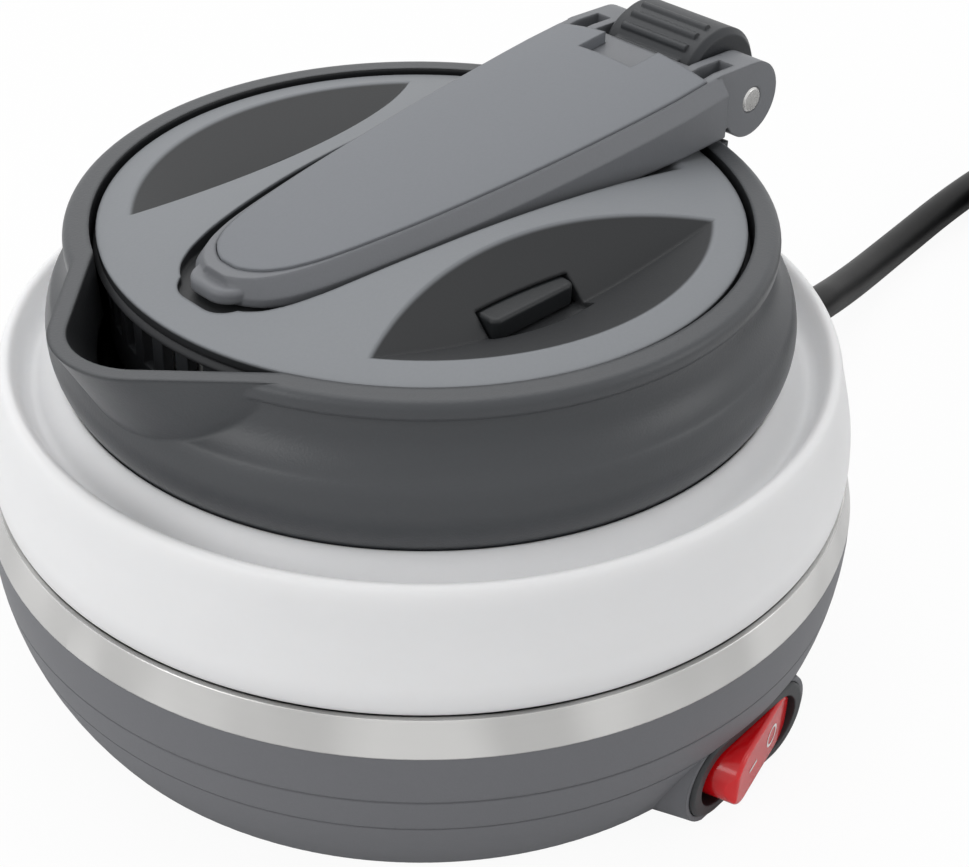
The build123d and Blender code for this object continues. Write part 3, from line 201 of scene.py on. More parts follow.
class Finish:
    """One material. Its maker sets what is the same all over, then what changes."""

    def __init__(self, name, base, roughness, **constants):
        self.material = bpy.data.materials.new(name)
        self.material.use_nodes = True
        self.tree = self.material.node_tree
        self.tree.nodes.clear()
        self.colour = (*base, 1)
        self.roughness = roughness
        settings = {"Base Color": self.colour, "Roughness": roughness}
        for label, value in constants.items():
            settings[label.replace("_", " ")] = value
        self.shader = self.node("ShaderNodeBsdfPrincipled", {}, settings)
        self.output = self.node("ShaderNodeOutputMaterial", {}, {
            "Surface": self.shader.outputs[0]})
        self.places = self.node("ShaderNodeTexCoord").outputs["Object"]
        self.surface = None
        self.material.diffuse_color = self.colour

    def node(self, kind, settings=None, sockets=None):
        return add_node(self.tree, kind, settings, sockets)

    def axis(self, number):
        """The height (2), or the place along X (0) or Y (1), in metres."""
        node = self.node("ShaderNodeSeparateXYZ", {}, {0: self.places})
        return Flow(self, node.outputs[number])

    def inward(self):
        """1 on walls that face the kettle's axis, 0 on the others."""
        x, y = self.axis(0), self.axis(1)
        normal = self.node("ShaderNodeTexCoord").outputs["Normal"]
        faced = self.node("ShaderNodeSeparateXYZ", {}, {0: normal})
        across, along = Flow(self, faced.outputs[0]), Flow(self, faced.outputs[1])
        reach = (x * x + y * y) ** 0.5
        return (0 - (x * across + y * along) / reach).between(*FACING)

    def noise(self, size, detail=2.0, stretch=(1, 1, 1), places=None):
        """Soft noise from 0 to 1 whose spots are about size metres across."""
        spread = self.node("ShaderNodeMapping", {}, {
            "Vector": places or self.places, "Scale": tuple(s / size for s in stretch)})
        node = self.node("ShaderNodeTexNoise", {}, {
            "Vector": spread.outputs[0], "Scale": 1.0, "Detail": detail})
        return Flow(self, node.outputs[0])

    def turned_places(self, radius):
        """Places on a piece turned at about this radius: along, outwards and up, in metres."""
        x, y, z = (self.axis(i) for i in range(3))
        reach = (x * x + y * y) ** 0.5
        angle = y.maths("ARCTAN2", y, x)
        node = self.node("ShaderNodeCombineXYZ", {}, {0: angle * radius, 1: reach, 2: z})
        return node.outputs[0]

    def tint(self, amount, low, high):
        """Makes the colour darker where amount is 0 and lighter where it is 1."""
        dark = tuple(c * low for c in self.colour[:3]) + (1,)
        light = tuple(min(c * high, 1) for c in self.colour[:3]) + (1,)
        mixed = self.node("ShaderNodeMix", {"data_type": "RGBA"}, {
            MIX_AMOUNT: amount, MIX_FIRST: dark, MIX_SECOND: light})
        feed(self.tree, self.shader.inputs["Base Color"], mixed.outputs[MIX_RESULT])

    def shade(self, amount, share):
        """Paints shade: takes the colour down to a share of itself where amount is 1."""
        socket = self.shader.inputs["Base Color"]
        darker = self.node("ShaderNodeMix", {"data_type": "RGBA", "blend_type": "MULTIPLY"}, {
            MIX_AMOUNT: amount, MIX_FIRST: socket.links[0].from_socket,
            MIX_SECOND: (share, share, share, 1)})
        feed(self.tree, socket, darker.outputs[MIX_RESULT])

    def rough(self, amount, spread):
        """Varies the roughness by spread, about its own value."""
        feed(self.tree, self.shader.inputs["Roughness"],
             (amount - 0.5) * spread + self.roughness)

    def soften(self, radius):
        """Rounds the small edges in the way light falls on them."""
        node = self.node("ShaderNodeBevel", {"samples": EDGE_SAMPLES}, {"Radius": radius})
        self.surface = node.outputs[0]
        feed(self.tree, self.shader.inputs["Normal"], self.surface)

    def relief(self, height, depth, strength=1.0):
        """Raises the surface by up to depth metres where height is 1."""
        sockets = {"Height": height, "Distance": depth, "Strength": strength}
        if self.surface is not None:
            sockets["Normal"] = self.surface
        node = self.node("ShaderNodeBump", {}, sockets)
        self.surface = node.outputs[0]
        feed(self.tree, self.shader.inputs["Normal"], self.surface)


# Moulded plastic

GRAIN_SIZE = 0.34 * MM
GRAIN_DEPTH = 0.035 * MM
FLOW_SIZE = 26 * MM
SPECK_SIZE = 0.5 * MM
GROOVE_HALF_WIDTH = 0.35 * MM
GROOVE_DEPTH = 0.08 * MM


def moulded_plastic(name, shade, roughness=0.46, grain=0.55, edge=None, grooves=(), painted_shade=None,
                    gloss=0.28):
    """Spark-grained plastic with soft edges, faint flow marks and specks.

    grooves holds the heights of fine lines round the piece. hollow gives where shade is
    painted into the colour, and the share of the colour that is left there.
    """
    sizes = bpy.context.scene.kettle_sizes
    made = Finish(name, shade, roughness, Specular_IOR_Level=gloss)
    made.soften(sizes.edge if edge is None else edge)
    if grooves:
        height = made.axis(2)
        cut = sum((height.near(place, GROOVE_HALF_WIDTH) for place in grooves), start=0)
        made.relief(1 - cut, GROOVE_DEPTH)
    fine = made.noise(GRAIN_SIZE, 3.0)
    made.relief(fine, GRAIN_DEPTH, grain)
    clouds = made.noise(FLOW_SIZE, 3.0)
    specks = made.noise(SPECK_SIZE, 1.0)
    made.tint(clouds * 0.6 + specks * 0.4, 0.94, 1.06)
    # Painted shade: the colour is darkened where hollow marks it.
    if painted_shade:
        made.shade(*painted_shade(made))
    made.rough(clouds * 0.5 + fine * 0.5, 0.14)
    return made.material


CROWN_TOP = 75.6 * MM                   # height of the lid's middle
CROWN_CURVE = 207.7 * MM                # radius of the lid's crown
CROWN_DEPTHS = (0.08 * MM, 0.5 * MM)    # below the crown: painted shade begins, and is whole
# share of the lid's colour left where shade is painted below its crown
RECESS_PAINTED_SHADE_SHARE = 0.13
# share of the collar's colour left where shade is painted on its inside
MOUTH_PAINTED_SHADE_SHARE = 0.25


def painted_shade_below_crown(made):
    """Painted shade in the lid's finger recesses and the handle's trough: all below its crown."""
    x, y, z = (made.axis(i) for i in range(3))
    crown = CROWN_TOP - (x * x + y * y) / (2 * CROWN_CURVE)
    return (crown - z).between(*CROWN_DEPTHS), RECESS_PAINTED_SHADE_SHARE


def painted_shade_in_mouth(made):
    """Painted shade on the collar's inside, seen through the spout."""
    return made.inward(), MOUTH_PAINTED_SHADE_SHARE


# Silicone

MILK_DEPTH = 4 * MM                     # how far light goes in
MILK_COLOUR = (1.0, 0.95, 0.9)
WAVE_SIZE = 18 * MM
WAVE_STRETCH = (1, 1, 2.5)
WAVE_DEPTH = 0.12 * MM
SKIN_SIZE = 0.9 * MM
SKIN_DEPTH = 0.02 * MM
FOOT_PAINTED_SHADE_HEIGHTS = (33 * MM, 39 * MM)       # painted shade near the band is whole, and has gone
FOOT_PAINTED_SHADE_SHARE = 0.84


def folding_silicone(name, shade):
    """Milky silicone that lets a little light through, with faint flow marks and painted shade
    low down.
    """
    made = Finish(name, shade, 0.44, Subsurface_Weight=0.35, Subsurface_Scale=MILK_DEPTH,
                  Subsurface_Radius=MILK_COLOUR, Specular_IOR_Level=0.4,
                  Sheen_Weight=0.08, Sheen_Roughness=0.4)
    clouds = made.noise(WAVE_SIZE, 3.0, WAVE_STRETCH)
    fine = made.noise(SKIN_SIZE, 2.0)
    made.relief(clouds, WAVE_DEPTH, 0.5)
    made.relief(fine, SKIN_DEPTH, 0.5)
    made.tint(clouds, 0.96, 1.02)
    # Painted shade: the wall darkens towards the band.
    made.shade(1 - made.axis(2).between(*FOOT_PAINTED_SHADE_HEIGHTS), FOOT_PAINTED_SHADE_SHARE)
    made.rough(clouds, 0.12)
    return made.material


# Metals

BAND_RADIUS = 60 * MM
STREAK_SIZE = 1 * MM
STREAK_STRETCH = (0.02, 6, 6)
STREAK_DEPTH = 0.006 * MM
# Painted reflections along the band: their size and stretch
PAINTED_REFLECTION_SIZE = 12 * MM
PAINTED_REFLECTION_STRETCH = (0.9, 0.4, 0.4)
STEEL_EDGE = 0.25 * MM
PIT_SIZE = 0.7 * MM
PIT_DEPTH = 0.012 * MM
TARNISH_SIZE = 6 * MM
METAL_EDGE = 0.2 * MM


def brushed_steel(name, shade):
    """Steel with fine lines along its turning, slow changes of gloss and painted reflection
    patches.
    """
    made = Finish(name, shade, 0.24, Metallic=1.0)
    made.soften(STEEL_EDGE)
    places = made.turned_places(BAND_RADIUS)
    lines = made.noise(STREAK_SIZE, 3.0, STREAK_STRETCH, places)
    slow = made.noise(PAINTED_REFLECTION_SIZE, 1.0, PAINTED_REFLECTION_STRETCH, places)
    made.relief(lines, STREAK_DEPTH, 0.35)
    # Painted reflections: broad lighter and darker patches along the turning, with the lines.
    made.tint(slow.between(0.35, 0.65) * 0.8 + lines * 0.2, 0.84, 1.12)
    made.rough(lines * 0.5 + slow * 0.5, 0.16)
    return made.material


def plain_metal(name, shade, roughness, metallic=1.0):
    """Drawn or cast metal with small pits."""
    made = Finish(name, shade, roughness, Metallic=metallic)
    made.soften(METAL_EDGE)
    pits = made.noise(PIT_SIZE, 3.0)
    slow = made.noise(TARNISH_SIZE, 2.0)
    made.relief(pits, PIT_DEPTH, 0.5)
    made.tint(slow, 0.88, 1.06)
    made.rough(slow * 0.5 + pits * 0.5, 0.2)
    return made.material


# Rubber, the red rocker, paint and the fuse's sleeve

RUBBER_SKIN = 0.4 * MM
RUBBER_DEPTH = 0.02 * MM
RUBBER_CLOUD = 9 * MM
RUBBER_EDGE = 0.4 * MM
GLOW_DEPTH = 3 * MM
GLOW_COLOUR = (1, 0.1, 0.1)
ROCKER_EDGE = 0.5 * MM
ROCKER_CLOUD = 5 * MM
ROCKER_SKIN = 0.6 * MM
ROCKER_SKIN_DEPTH = 0.01 * MM
PAINT_SPECK = 0.5 * MM
THREAD_RATE = 5200          # radians of the weave in each metre
THREAD_DEPTH = 0.15 * MM


def soft_rubber(name, shade, roughness=0.5, edge=RUBBER_EDGE):
    """Black rubber with a fine matte skin and a trace of dust."""
    made = Finish(name, shade, roughness, Specular_IOR_Level=0.22)
    made.soften(edge)
    fine = made.noise(RUBBER_SKIN, 2.0)
    slow = made.noise(RUBBER_CLOUD, 3.0)
    made.relief(fine, RUBBER_DEPTH, 0.4)
    made.tint(slow, 0.85, 1.25)
    made.rough(slow, 0.16)
    return made.material


def clear_red(name, shade):
    """Gloss red plastic that glows where light comes through it."""
    made = Finish(name, shade, 0.2, Transmission_Weight=0.12, IOR=1.45, Specular_IOR_Level=0.3,
                  Coat_Weight=0.5, Coat_Roughness=0.06, Subsurface_Weight=0.3,
                  Subsurface_Scale=GLOW_DEPTH, Subsurface_Radius=GLOW_COLOUR)
    made.soften(ROCKER_EDGE)
    slow = made.noise(ROCKER_CLOUD, 2.0)
    fine = made.noise(ROCKER_SKIN, 2.0)
    made.relief(fine, ROCKER_SKIN_DEPTH, 0.4)
    made.tint(slow, 0.86, 1.1)
    made.rough(slow, 0.08)
    return made.material


def painted_mark(name, shade):
    """Flat white paint."""
    made = Finish(name, shade, 0.4)
    made.tint(made.noise(PAINT_SPECK, 2.0), 0.9, 1.0)
    return made.material


def woven_sleeve(name, shade):
    """Glass-fibre sleeve over the fuse: two crossing sets of threads."""
    made = Finish(name, shade, 0.7)
    x, y = made.axis(0), made.axis(1)
    one = x.maths("SINE", (x + y) * THREAD_RATE)
    two = x.maths("SINE", (x - y) * THREAD_RATE)
    weave = one * two * 0.5 + 0.5
    made.relief(weave, THREAD_DEPTH, 0.8)
    made.tint(weave, 0.75, 1.05)
    return made.material


# Pieces

def dress(material, *names):
    """Gives CAD nodes their finish."""
    for name in names:
        slots = nodes[name].data.materials
        if len(slots):
            for i in range(len(slots)):
                slots[i] = material
        else:
            slots.append(material)


def finished(name, made):
    """The mesh of what was built."""
    mesh = bpy.data.meshes.new(name)
    made.to_mesh(mesh)
    made.free()
    return mesh


def put(name, mesh, material, smooth=True):
    """Sets a mesh in the scene with its material."""
    piece = bpy.data.objects.new(name, mesh)
    bpy.context.scene.collection.objects.link(piece)
    mesh.materials.append(material)
    if smooth:
        mesh.shade_smooth()
    return piece


def smooth_outline(points, steps):
    """Points on one smooth closed line through the given ones."""
    count = len(points)
    line = []
    for i in range(count):
        before, here, after, later = (Vector(points[(i + k) % count]) for k in (-1, 0, 1, 2))
        for step in range(steps):
            t = step / steps
            line.append(0.5 * (2 * here + (after - before) * t
                               + (2 * before - 5 * here + 4 * after - later) * t ** 2
                               + (3 * here - 3 * after + later - before) * t ** 3))
    return line


def turn(name, outline, material):
    """A closed (radius, height) outline turned about the kettle's axis, in metres."""
    around = bpy.context.scene.kettle_sizes.around
    made = bmesh.new()
    rings = []
    for i in range(around):
        angle = 2 * math.pi * i / around
        rings.append([made.verts.new((p[0] * math.cos(angle), p[0] * math.sin(angle), p[1]))
                      for p in outline])
    count = len(outline)
    for i in range(around):
        near, far = rings[i], rings[(i + 1) % around]
        for k in range(count):
            made.faces.new((near[k], far[k], far[(k + 1) % count], near[(k + 1) % count]))
    bmesh.ops.recalc_face_normals(made, faces=made.faces)
    return put(name, finished(name, made), material)


# The studio

PHOTO_WIDTH = 969                       # in pixels
PHOTO_FOCAL = 1837.81472                # focal length, in pixels
PHOTO_CENTRE = 430.0                    # column of the lens's axis, in pixels
SENSOR_WIDTH = 36.0                     # in the camera's own millimetres
CAMERA_CLIPS = (0.01, 20.0)             # nearest and farthest that it sees, in metres
CAMERA_PLACE = (-157.99 * MM, -165.70 * MM, 193.2 * MM)
CAMERA_DROP = 0.613192703               # below level, in radians
CAMERA_ROLL = 0.0119926969              # in radians
CAMERA_TURN = math.radians(-44)
TABLE_REACH = 6.0                       # in metres
TABLE_SHADE = (0.9, 0.9, 0.9)
TABLE_GLOW = 0.94                       # share of pure white that the camera sees
WORLD_FILL = 0.48

# Each lamp: its name, place, aim, width in metres and power in watts
LAMPS = (
    ("top_light", (0.16, 0.30, 0.85), (0, 0, 0.05), 1.1, 4.4),
    ("left_light", (-0.70, 0.10, 0.42), (0, 0, 0.04), 0.45, 1.5),
    ("right_light", (0.42, -0.55, 0.30), (0, 0, 0.03), 0.35, 0.6),
)


class KETTLE_OT_stage(Operator):
    """Makes the camera, the table, the backdrop and the studio light"""

    bl_idname = "kettle.stage"
    bl_label = "Studio"

    def execute(self, context):
        self.camera(context.scene)
        self.table()
        self.world(context.scene)
        for lamp in LAMPS:
            self.lamp(context.scene, *lamp)
        context.scene.view_settings.view_transform = "Standard"
        return {"FINISHED"}

    def camera(self, scene):
        """The photograph's camera."""
        lens = bpy.data.cameras.new("photo_camera")
        lens.sensor_fit = "HORIZONTAL"
        lens.sensor_width = SENSOR_WIDTH
        lens.lens = SENSOR_WIDTH * (PHOTO_FOCAL / PHOTO_WIDTH)
        lens.shift_x = (PHOTO_WIDTH / 2 - PHOTO_CENTRE) / PHOTO_WIDTH
        lens.clip_start, lens.clip_end = CAMERA_CLIPS
        view = bpy.data.objects.new("photo_camera", lens)
        scene.collection.objects.link(view)
        ahead = Vector((0, math.cos(CAMERA_DROP), -math.sin(CAMERA_DROP)))
        right = Vector((1, 0, 0))
        up = right.cross(ahead)
        c, s = math.cos(CAMERA_ROLL), math.sin(CAMERA_ROLL)
        right, up = right * c + up * s, up * c - right * s
        turned = Matrix.Rotation(CAMERA_TURN, 3, "Z")
        axes = Matrix((turned @ right, turned @ up, -(turned @ ahead))).transposed()
        view.matrix_world = Matrix.Translation(CAMERA_PLACE) @ axes.to_4x4()
        scene.camera = view

    def table(self):
        """A white table that the camera sees nearly as bright as the backdrop."""
        made = bmesh.new()
        bmesh.ops.create_grid(made, x_segments=1, y_segments=1, size=TABLE_REACH)
        floor = Finish("white_table", TABLE_SHADE, 0.9, Specular_IOR_Level=0.1)
        rays = floor.node("ShaderNodeLightPath")
        seen = Flow(floor, rays.outputs["Is Camera Ray"])
        lit = floor.node("ShaderNodeEmission", {}, {"Color": WHITE, "Strength": 1.0})
        blend = floor.node("ShaderNodeMixShader", {}, {
            0: seen * TABLE_GLOW, 1: floor.shader.outputs[0], 2: lit.outputs[0]})
        feed(floor.tree, floor.output.inputs["Surface"], blend.outputs[0])
        piece = put("table", finished("table", made), floor.material, smooth=False)

    def world(self, scene):
        """A soft fill of light, and pure white where it is seen, mirrored or looked through."""
        world = scene.world or bpy.data.worlds.new("studio")
        scene.world = world
        world.use_nodes = True
        tree = world.node_tree
        tree.nodes.clear()
        rays = add_node(tree, "ShaderNodeLightPath").outputs
        either = add_node(tree, "ShaderNodeMath", {"operation": "MAXIMUM"}, {
            0: rays["Is Camera Ray"], 1: rays["Is Glossy Ray"]})
        any_of_three = add_node(tree, "ShaderNodeMath", {"operation": "MAXIMUM"}, {
            0: either.outputs[0], 1: rays["Is Transmission Ray"]})
        soft, white = (add_node(tree, "ShaderNodeBackground", {}, {
            "Color": WHITE, "Strength": strength}) for strength in (WORLD_FILL, 1.0))
        mix = add_node(tree, "ShaderNodeMixShader", {}, {
            0: any_of_three.outputs[0], 1: soft.outputs[0], 2: white.outputs[0]})
        add_node(tree, "ShaderNodeOutputWorld", {}, {0: mix.outputs[0]})

    def lamp(self, scene, name, place, aim, size, power):
        """A round lamp that faces its aim."""
        light = bpy.data.lights.new(name, "AREA")
        light.shape = "DISK"
        light.size = size
        light.energy = power
        piece = bpy.data.objects.new(name, light)
        scene.collection.objects.link(piece)
        piece.location = place
        piece.rotation_euler = (Vector(aim) - Vector(place)).to_track_quat("-Z", "Y").to_euler()


# The cord: the same places as in the part's source, in millimetres

CORD_ROUTE = [
    (86.0, 0.0, 12.0), (100.0, 0.0, 12.0), (122.0, 5.4, 6.6),
    (147.0, 10.8, 3.6), (173.0, 13.4, 4.8), (196.0, 14.6, 4.8),
]
COIL_OUTER = 44.0
COIL_PITCH = 7.5
COIL_TURNS = 1.5        # in each of the two layers
LAYER_TURNS = 0.5       # turns over which the cord climbs to the upper layer
COIL_POINTS = 14        # points of the line in each turn
END_TURNS = 0.0001      # the small turn that gives the loops' last heading
PLUG_LEAD = 14.0
CORD_EDGE = 0.3 * MM
CORD_ORDER = 3
CORD_STEPS = 8
CORD_SIDES = 6


def coil_radius(turns):
    """Distance of the cord's line from the coil's middle, in millimetres."""
    inward = COIL_TURNS + LAYER_TURNS / 2
    return COIL_OUTER - COIL_PITCH * (inward - abs(turns - inward))


def coil_level(turns):
    """Height of the cord's line above the lower layer, in millimetres."""
    share = min(max((turns - COIL_TURNS) / LAYER_TURNS, 0), 1)
    return COIL_PITCH * share * share * (3 - 2 * share)


def coil_place(turns):
    """A place on the loops, in millimetres."""
    last = Vector(CORD_ROUTE[-1])
    heading = (last - Vector(CORD_ROUTE[-2])).normalized()
    start = last + heading * CORD_DIAMETER
    middle = start + Vector((heading.y, -heading.x, 0)) * COIL_OUTER
    angle = math.atan2(heading.x, -heading.y) - 2 * math.pi * turns
    r = coil_radius(turns)
    return Vector((middle.x + r * math.cos(angle), middle.y + r * math.sin(angle),
                   middle.z + coil_level(turns)))


def cord_line():
    """The cord's whole line, from the housing to the plug, in metres."""
    points = [Vector(place) for place in CORD_ROUTE]
    total = 2 * COIL_TURNS + LAYER_TURNS
    steps = round(total * COIL_POINTS)
    loops = [coil_place(total * i / steps) for i in range(steps + 1)]
    way = loops[-1] - coil_place(total - END_TURNS)
    way.z = 0
    way.normalize()
    points += loops
    points.append(loops[-1] + way * (CORD_DIAMETER + PLUG_LEAD))
    return [p * MM for p in points]


class KETTLE_OT_cord(Operator):
    """Lays the mains cord from the housing to its plug"""

    bl_idname = "kettle.cord"
    bl_label = "Cord"

    def execute(self, context):
        colours = context.scene.kettle_colours
        sizes = context.scene.kettle_sizes
        rubber = soft_rubber("cord_rubber", colours.cord, 0.42, CORD_EDGE)
        dress(rubber, "cord_gland", "plug_body")
        dress(moulded_plastic("tie_plastic", colours.cord, 0.5), "cord_tie")
        dress(plain_metal("plug_metal", colours.brass, 0.25), "plug_pins")
        line = bpy.data.curves.new("mains_cord", "CURVE")
        line.dimensions = "3D"
        spline = line.splines.new("NURBS")
        points = cord_line()
        spline.points.add(len(points) - 1)
        for point, place in zip(spline.points, points):
            point.co = (*place, 1)
        spline.order_u = CORD_ORDER
        spline.use_endpoint_u = True
        spline.resolution_u = CORD_STEPS
        line.bevel_depth = sizes.cord_diameter / 2
        line.bevel_resolution = CORD_SIDES
        line.use_fill_caps = True
        cord = bpy.data.objects.new("mains_cord", line)
        context.scene.collection.objects.link(cord)
        line.materials.append(rubber)
        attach(cord, "base")
        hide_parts("power_cord", "cord_coil")
        return {"FINISHED"}


# The folding body: its wall's outline as (radius, height), in millimetres

SILICONE_OUTLINE = [
    # The outer wall, up from the band
    (62.95, 33.7), (63.4, 34.7), (63.55, 36.2), (63.55, 38.4), (63.25, 41.2), (62.65, 44.0),
    (61.9, 46.8), (61.3, 49.0),
    # The ridge, the valley behind it and the rise to the collar
    (60.95, 50.5), (60.5, 51.5), (59.75, 51.9), (59.0, 51.6),
    (58.5, 50.7), (58.15, 49.4), (57.6, 48.1), (56.7, 47.4), (55.7, 47.5), (54.8, 48.3),
    (53.8, 49.5), (52.9, 50.6), (52.3, 51.05), (51.95, 50.8), (51.95, 50.0), (52.5, 48.2),
    # Down inside the collar, and round the lower fold's inner side
    (53.25, 46.2), (53.6, 44.2), (53.58, 38.0), (53.55, 32.0), (53.5, 28.4),
    (53.05, 27.15), (52.3, 26.62), (51.55, 27.15), (51.05, 28.4),
    # The cuff, up one side and down the other
    (51.0, 34.0), (50.98, 40.0), (50.95, 44.3), (50.2, 44.62), (49.3, 44.5), (49.1, 43.8),
    (49.15, 40.9), (49.35, 38.6), (49.3, 34.0), (49.25, 28.2),
    # Round the lower fold's outer side, and up under the ridge
    (49.9, 25.9), (51.3, 24.95), (52.9, 24.9), (54.6, 25.9),
    (55.4, 28.2), (55.42, 36.0), (55.45, 42.0), (55.7, 44.6), (56.6, 45.7), (57.8, 46.2),
    (58.75, 47.2), (59.25, 48.6), (59.65, 49.2),
    # The outer wall's inside, down to its foot in the band
    (60.0, 48.4), (60.7, 45.6), (61.35, 42.0),
    (61.7, 38.0), (61.35, 35.4), (60.6, 34.2),
    (60.6, 33.6), (61.6, 33.5), (62.4, 33.45),
]
OUTLINE_STEPS = 4
SEAL_LIP = 0.9 * MM
SEAL_DEPTH = 1.7 * MM
SEAL_STEPS = 5


class KETTLE_OT_silicone(Operator):
    """Makes the folded silicone body and the lid's seal"""

    bl_idname = "kettle.silicone"
    bl_label = "Silicone body"

    def execute(self, context):
        colours = context.scene.kettle_colours
        outline = smooth_outline([(r * MM, z * MM) for r, z in SILICONE_OUTLINE], OUTLINE_STEPS)
        body = turn("folding_body", outline, folding_silicone("silicone", colours.silicone))
        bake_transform(body)
        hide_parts("silicone_body")
        low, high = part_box("lid_seal")
        middle = (low.z + high.z) / 2
        seal_round = [(high.x - SEAL_LIP, low.z), (high.x, middle),
                      (high.x - SEAL_LIP, high.z), (high.x - SEAL_DEPTH, middle)]
        seal = turn("lid_seal_ring", smooth_outline(seal_round, SEAL_STEPS),
                    soft_rubber("seal_rubber", colours.seal, 0.5))
        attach(seal, "lid")
        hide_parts("lid_seal")
        return {"FINISHED"}


# The plastic and metal pieces

BASE_GROOVES = (20 * MM, 14 * MM)
COLLAR_EDGE = 0.9 * MM
BUTTON_EDGE = 0.6 * MM
LID_EDGE = 0.7 * MM
FRAME_EDGE = 0.7 * MM
PAD_EDGE = 0.8 * MM


class KETTLE_OT_base(Operator):
    """Finishes the base, its steel band and what is inside it"""

    bl_idname = "kettle.base"
    bl_label = "Base"

    def execute(self, context):
        colours = context.scene.kettle_colours
        shell = moulded_plastic("base_plastic", colours.base, 0.5, grooves=BASE_GROOVES)
        dress(shell, "base_housing", "bottom_cover")
        steel = brushed_steel("brushed_steel", colours.steel)
        dress(steel, "steel_pan", "lower_clamp_ring", "cuff_clamp_ring")
        dress(plain_metal("dull_steel", colours.steel, 0.42), "heating_element", "cover_screws")
        dress(plain_metal("cast_aluminium", colours.aluminium, 0.5), "heating_plate")
        dress(soft_rubber("foot_rubber", colours.foot), "rubber_feet")
        dress(moulded_plastic("inner_plastic", colours.inner), "thermostat", "switch_box")
        dress(moulded_plastic("terminal_plastic", colours.terminal), "terminal_block")
        dress(woven_sleeve("fuse_sleeve", colours.sleeve), "thermal_fuse")
        return {"FINISHED"}


class KETTLE_OT_collar(Operator):
    """Finishes the pouring collar with its hinge and lock"""

    bl_idname = "kettle.collar"
    bl_label = "Collar"

    def execute(self, context):
        colours = context.scene.kettle_colours
        # The collar's inside takes painted shade.
        ring = moulded_plastic("collar_plastic", colours.collar, 0.36, grain=1.0,
                               edge=COLLAR_EDGE, painted_shade=painted_shade_in_mouth, gloss=0.33)
        dress(ring, "collar")
        button = moulded_plastic("button_plastic", colours.button, 0.42, edge=BUTTON_EDGE)
        dress(button, "lock_button")
        dress(plain_metal("pin_steel", colours.steel, 0.28), "hinge_pin")
        dress(plain_metal("spring_steel", colours.steel, 0.3),
              "lock_spring", "latch_spring_near", "latch_spring_far")
        return {"FINISHED"}


class KETTLE_OT_lid(Operator):
    """Finishes the lid, its strainer and its latches"""

    bl_idname = "kettle.lid"
    bl_label = "Lid"

    def execute(self, context):
        colours = context.scene.kettle_colours
        # The lid's recesses and trough take painted shade.
        cover = moulded_plastic("lid_plastic", colours.lid, 0.47, edge=LID_EDGE,
                                painted_shade=painted_shade_below_crown)
        dress(cover, "lid_cover")
        dress(moulded_plastic("strainer_plastic", colours.strainer, 0.45),
              "strainer_skirt", "lid_floor")
        dress(moulded_plastic("latch_plastic", colours.latch, 0.42), "latch_near", "latch_far")
        dress(plain_metal("mesh_steel", colours.mesh, 0.5, 0.35), "strainer_mesh")
        dress(plain_metal("screw_steel", colours.steel, 0.35), "lid_screws")
        return {"FINISHED"}


class KETTLE_OT_handle(Operator):
    """Finishes the folded handle"""

    bl_idname = "kettle.handle"
    bl_label = "Handle"

    def execute(self, context):
        colours = context.scene.kettle_colours
        dress(moulded_plastic("handle_plastic", colours.handle, 0.42, edge=FRAME_EDGE),
              "handle_frame")
        dress(moulded_plastic("pad_plastic", colours.pad, 0.48, edge=PAD_EDGE), "handle_pad")
        return {"FINISHED"}


# The switch

SWITCH_TURN = math.radians(-86.0)
PIVOT_REACH = 58.5 * MM         # from the kettle's axis to the rocker's pivot
PIVOT_HEIGHT = 8.0 * MM
ROCKER_TILT = math.radians(12.5)
ROCKER_FACE = 6.3 * MM          # from the pivot to the rocker's face
MARK_LIFT = 0.04 * MM
RING_ALONG = 3.3 * MM           # from the face's middle to the ring's
RING_OUTER = 1.8 * MM
RING_INNER = 1.35 * MM
RING_POINTS = 48
BAR_ALONG = -3.7 * MM           # from the face's middle to the bar's
BAR_HALF_LENGTH = 1.3 * MM
BAR_HALF_WIDTH = 0.26 * MM


def on_rocker(along, up):
    """A place on the rocker's face, from its middle, in metres."""
    out = ROCKER_FACE + MARK_LIFT
    turned = Matrix.Rotation(ROCKER_TILT, 3, "Z") @ Vector((out, along, up))
    return Matrix.Rotation(SWITCH_TURN, 3, "Z") @ (
        turned + Vector((PIVOT_REACH, 0, PIVOT_HEIGHT)))


def ring_mark(made):
    """The ring that stands for off."""
    rings = []
    for radius in (RING_OUTER, RING_INNER):
        rings.append([made.verts.new(on_rocker(
            RING_ALONG + radius * math.cos(2 * math.pi * i / RING_POINTS),
            radius * math.sin(2 * math.pi * i / RING_POINTS))) for i in range(RING_POINTS)])
    for i in range(RING_POINTS):
        k = (i + 1) % RING_POINTS
        made.faces.new((rings[0][i], rings[0][k], rings[1][k], rings[1][i]))


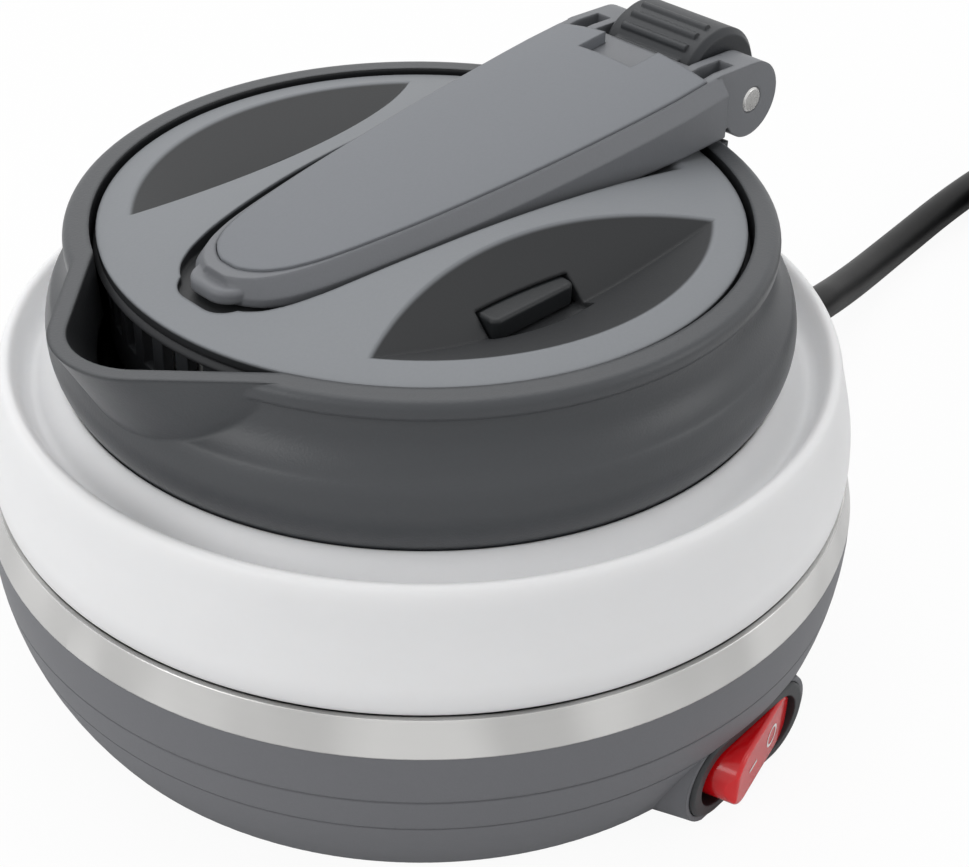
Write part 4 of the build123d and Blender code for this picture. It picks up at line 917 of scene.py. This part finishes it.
def bar_mark(made):
    """The short bar that stands for on."""
    low, high = BAR_ALONG - BAR_HALF_LENGTH, BAR_ALONG + BAR_HALF_LENGTH
    corners = [(low, -BAR_HALF_WIDTH), (high, -BAR_HALF_WIDTH),
               (high, BAR_HALF_WIDTH), (low, BAR_HALF_WIDTH)]
    made.faces.new([made.verts.new(on_rocker(along, up)) for along, up in corners])


class KETTLE_OT_switch(Operator):
    """Finishes the rocker switch and paints its two marks"""

    bl_idname = "kettle.switch"
    bl_label = "Switch"

    def execute(self, context):
        colours = context.scene.kettle_colours
        dress(moulded_plastic("bezel_plastic", colours.bezel, 0.4), "switch_bezel")
        dress(clear_red("rocker_red", colours.red), "rocker")
        paint = painted_mark("mark_paint", colours.mark)
        for name, draw in (("off_mark", ring_mark), ("on_mark", bar_mark)):
            made = bmesh.new()
            draw(made)
            mesh = finished(name, made)
            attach(put(name, mesh, paint, smooth=False), "rocker")
        return {"FINISHED"}


STEPS = (
    KETTLE_OT_stage, KETTLE_OT_cord, KETTLE_OT_silicone, KETTLE_OT_base, KETTLE_OT_collar,
    KETTLE_OT_lid, KETTLE_OT_handle, KETTLE_OT_switch,
)


class KETTLE_PT_panel(Panel):
    """Lists the kettle's pieces and the colours they take"""

    bl_idname = "KETTLE_PT_panel"
    bl_label = "Folding kettle"
    bl_space_type = "VIEW_3D"
    bl_region_type = "UI"
    bl_category = "Kettle"

    def draw(self, context):
        column = self.layout.column(align=True)
        for step in STEPS:
            column.operator(step.bl_idname)
        box = self.layout.box()
        for name in KettleColours.__annotations__:
            box.prop(context.scene.kettle_colours, name)
        for name in KettleSizes.__annotations__:
            box.prop(context.scene.kettle_sizes, name)


CLASSES = (KettleColours, KettleSizes, *STEPS, KETTLE_PT_panel)


def register():
    for each in CLASSES:
        bpy.utils.register_class(each)
    bpy.types.Scene.kettle_colours = PointerProperty(type=KettleColours)
    bpy.types.Scene.kettle_sizes = PointerProperty(type=KettleSizes)


def unregister():
    del bpy.types.Scene.kettle_colours
    del bpy.types.Scene.kettle_sizes
    for each in reversed(CLASSES):
        bpy.utils.unregister_class(each)


def main():
    register()
    for step in STEPS:
        group, name = step.bl_idname.split(".")
        getattr(getattr(bpy.ops, group), name)()


if __name__ == "__main__":
    main()
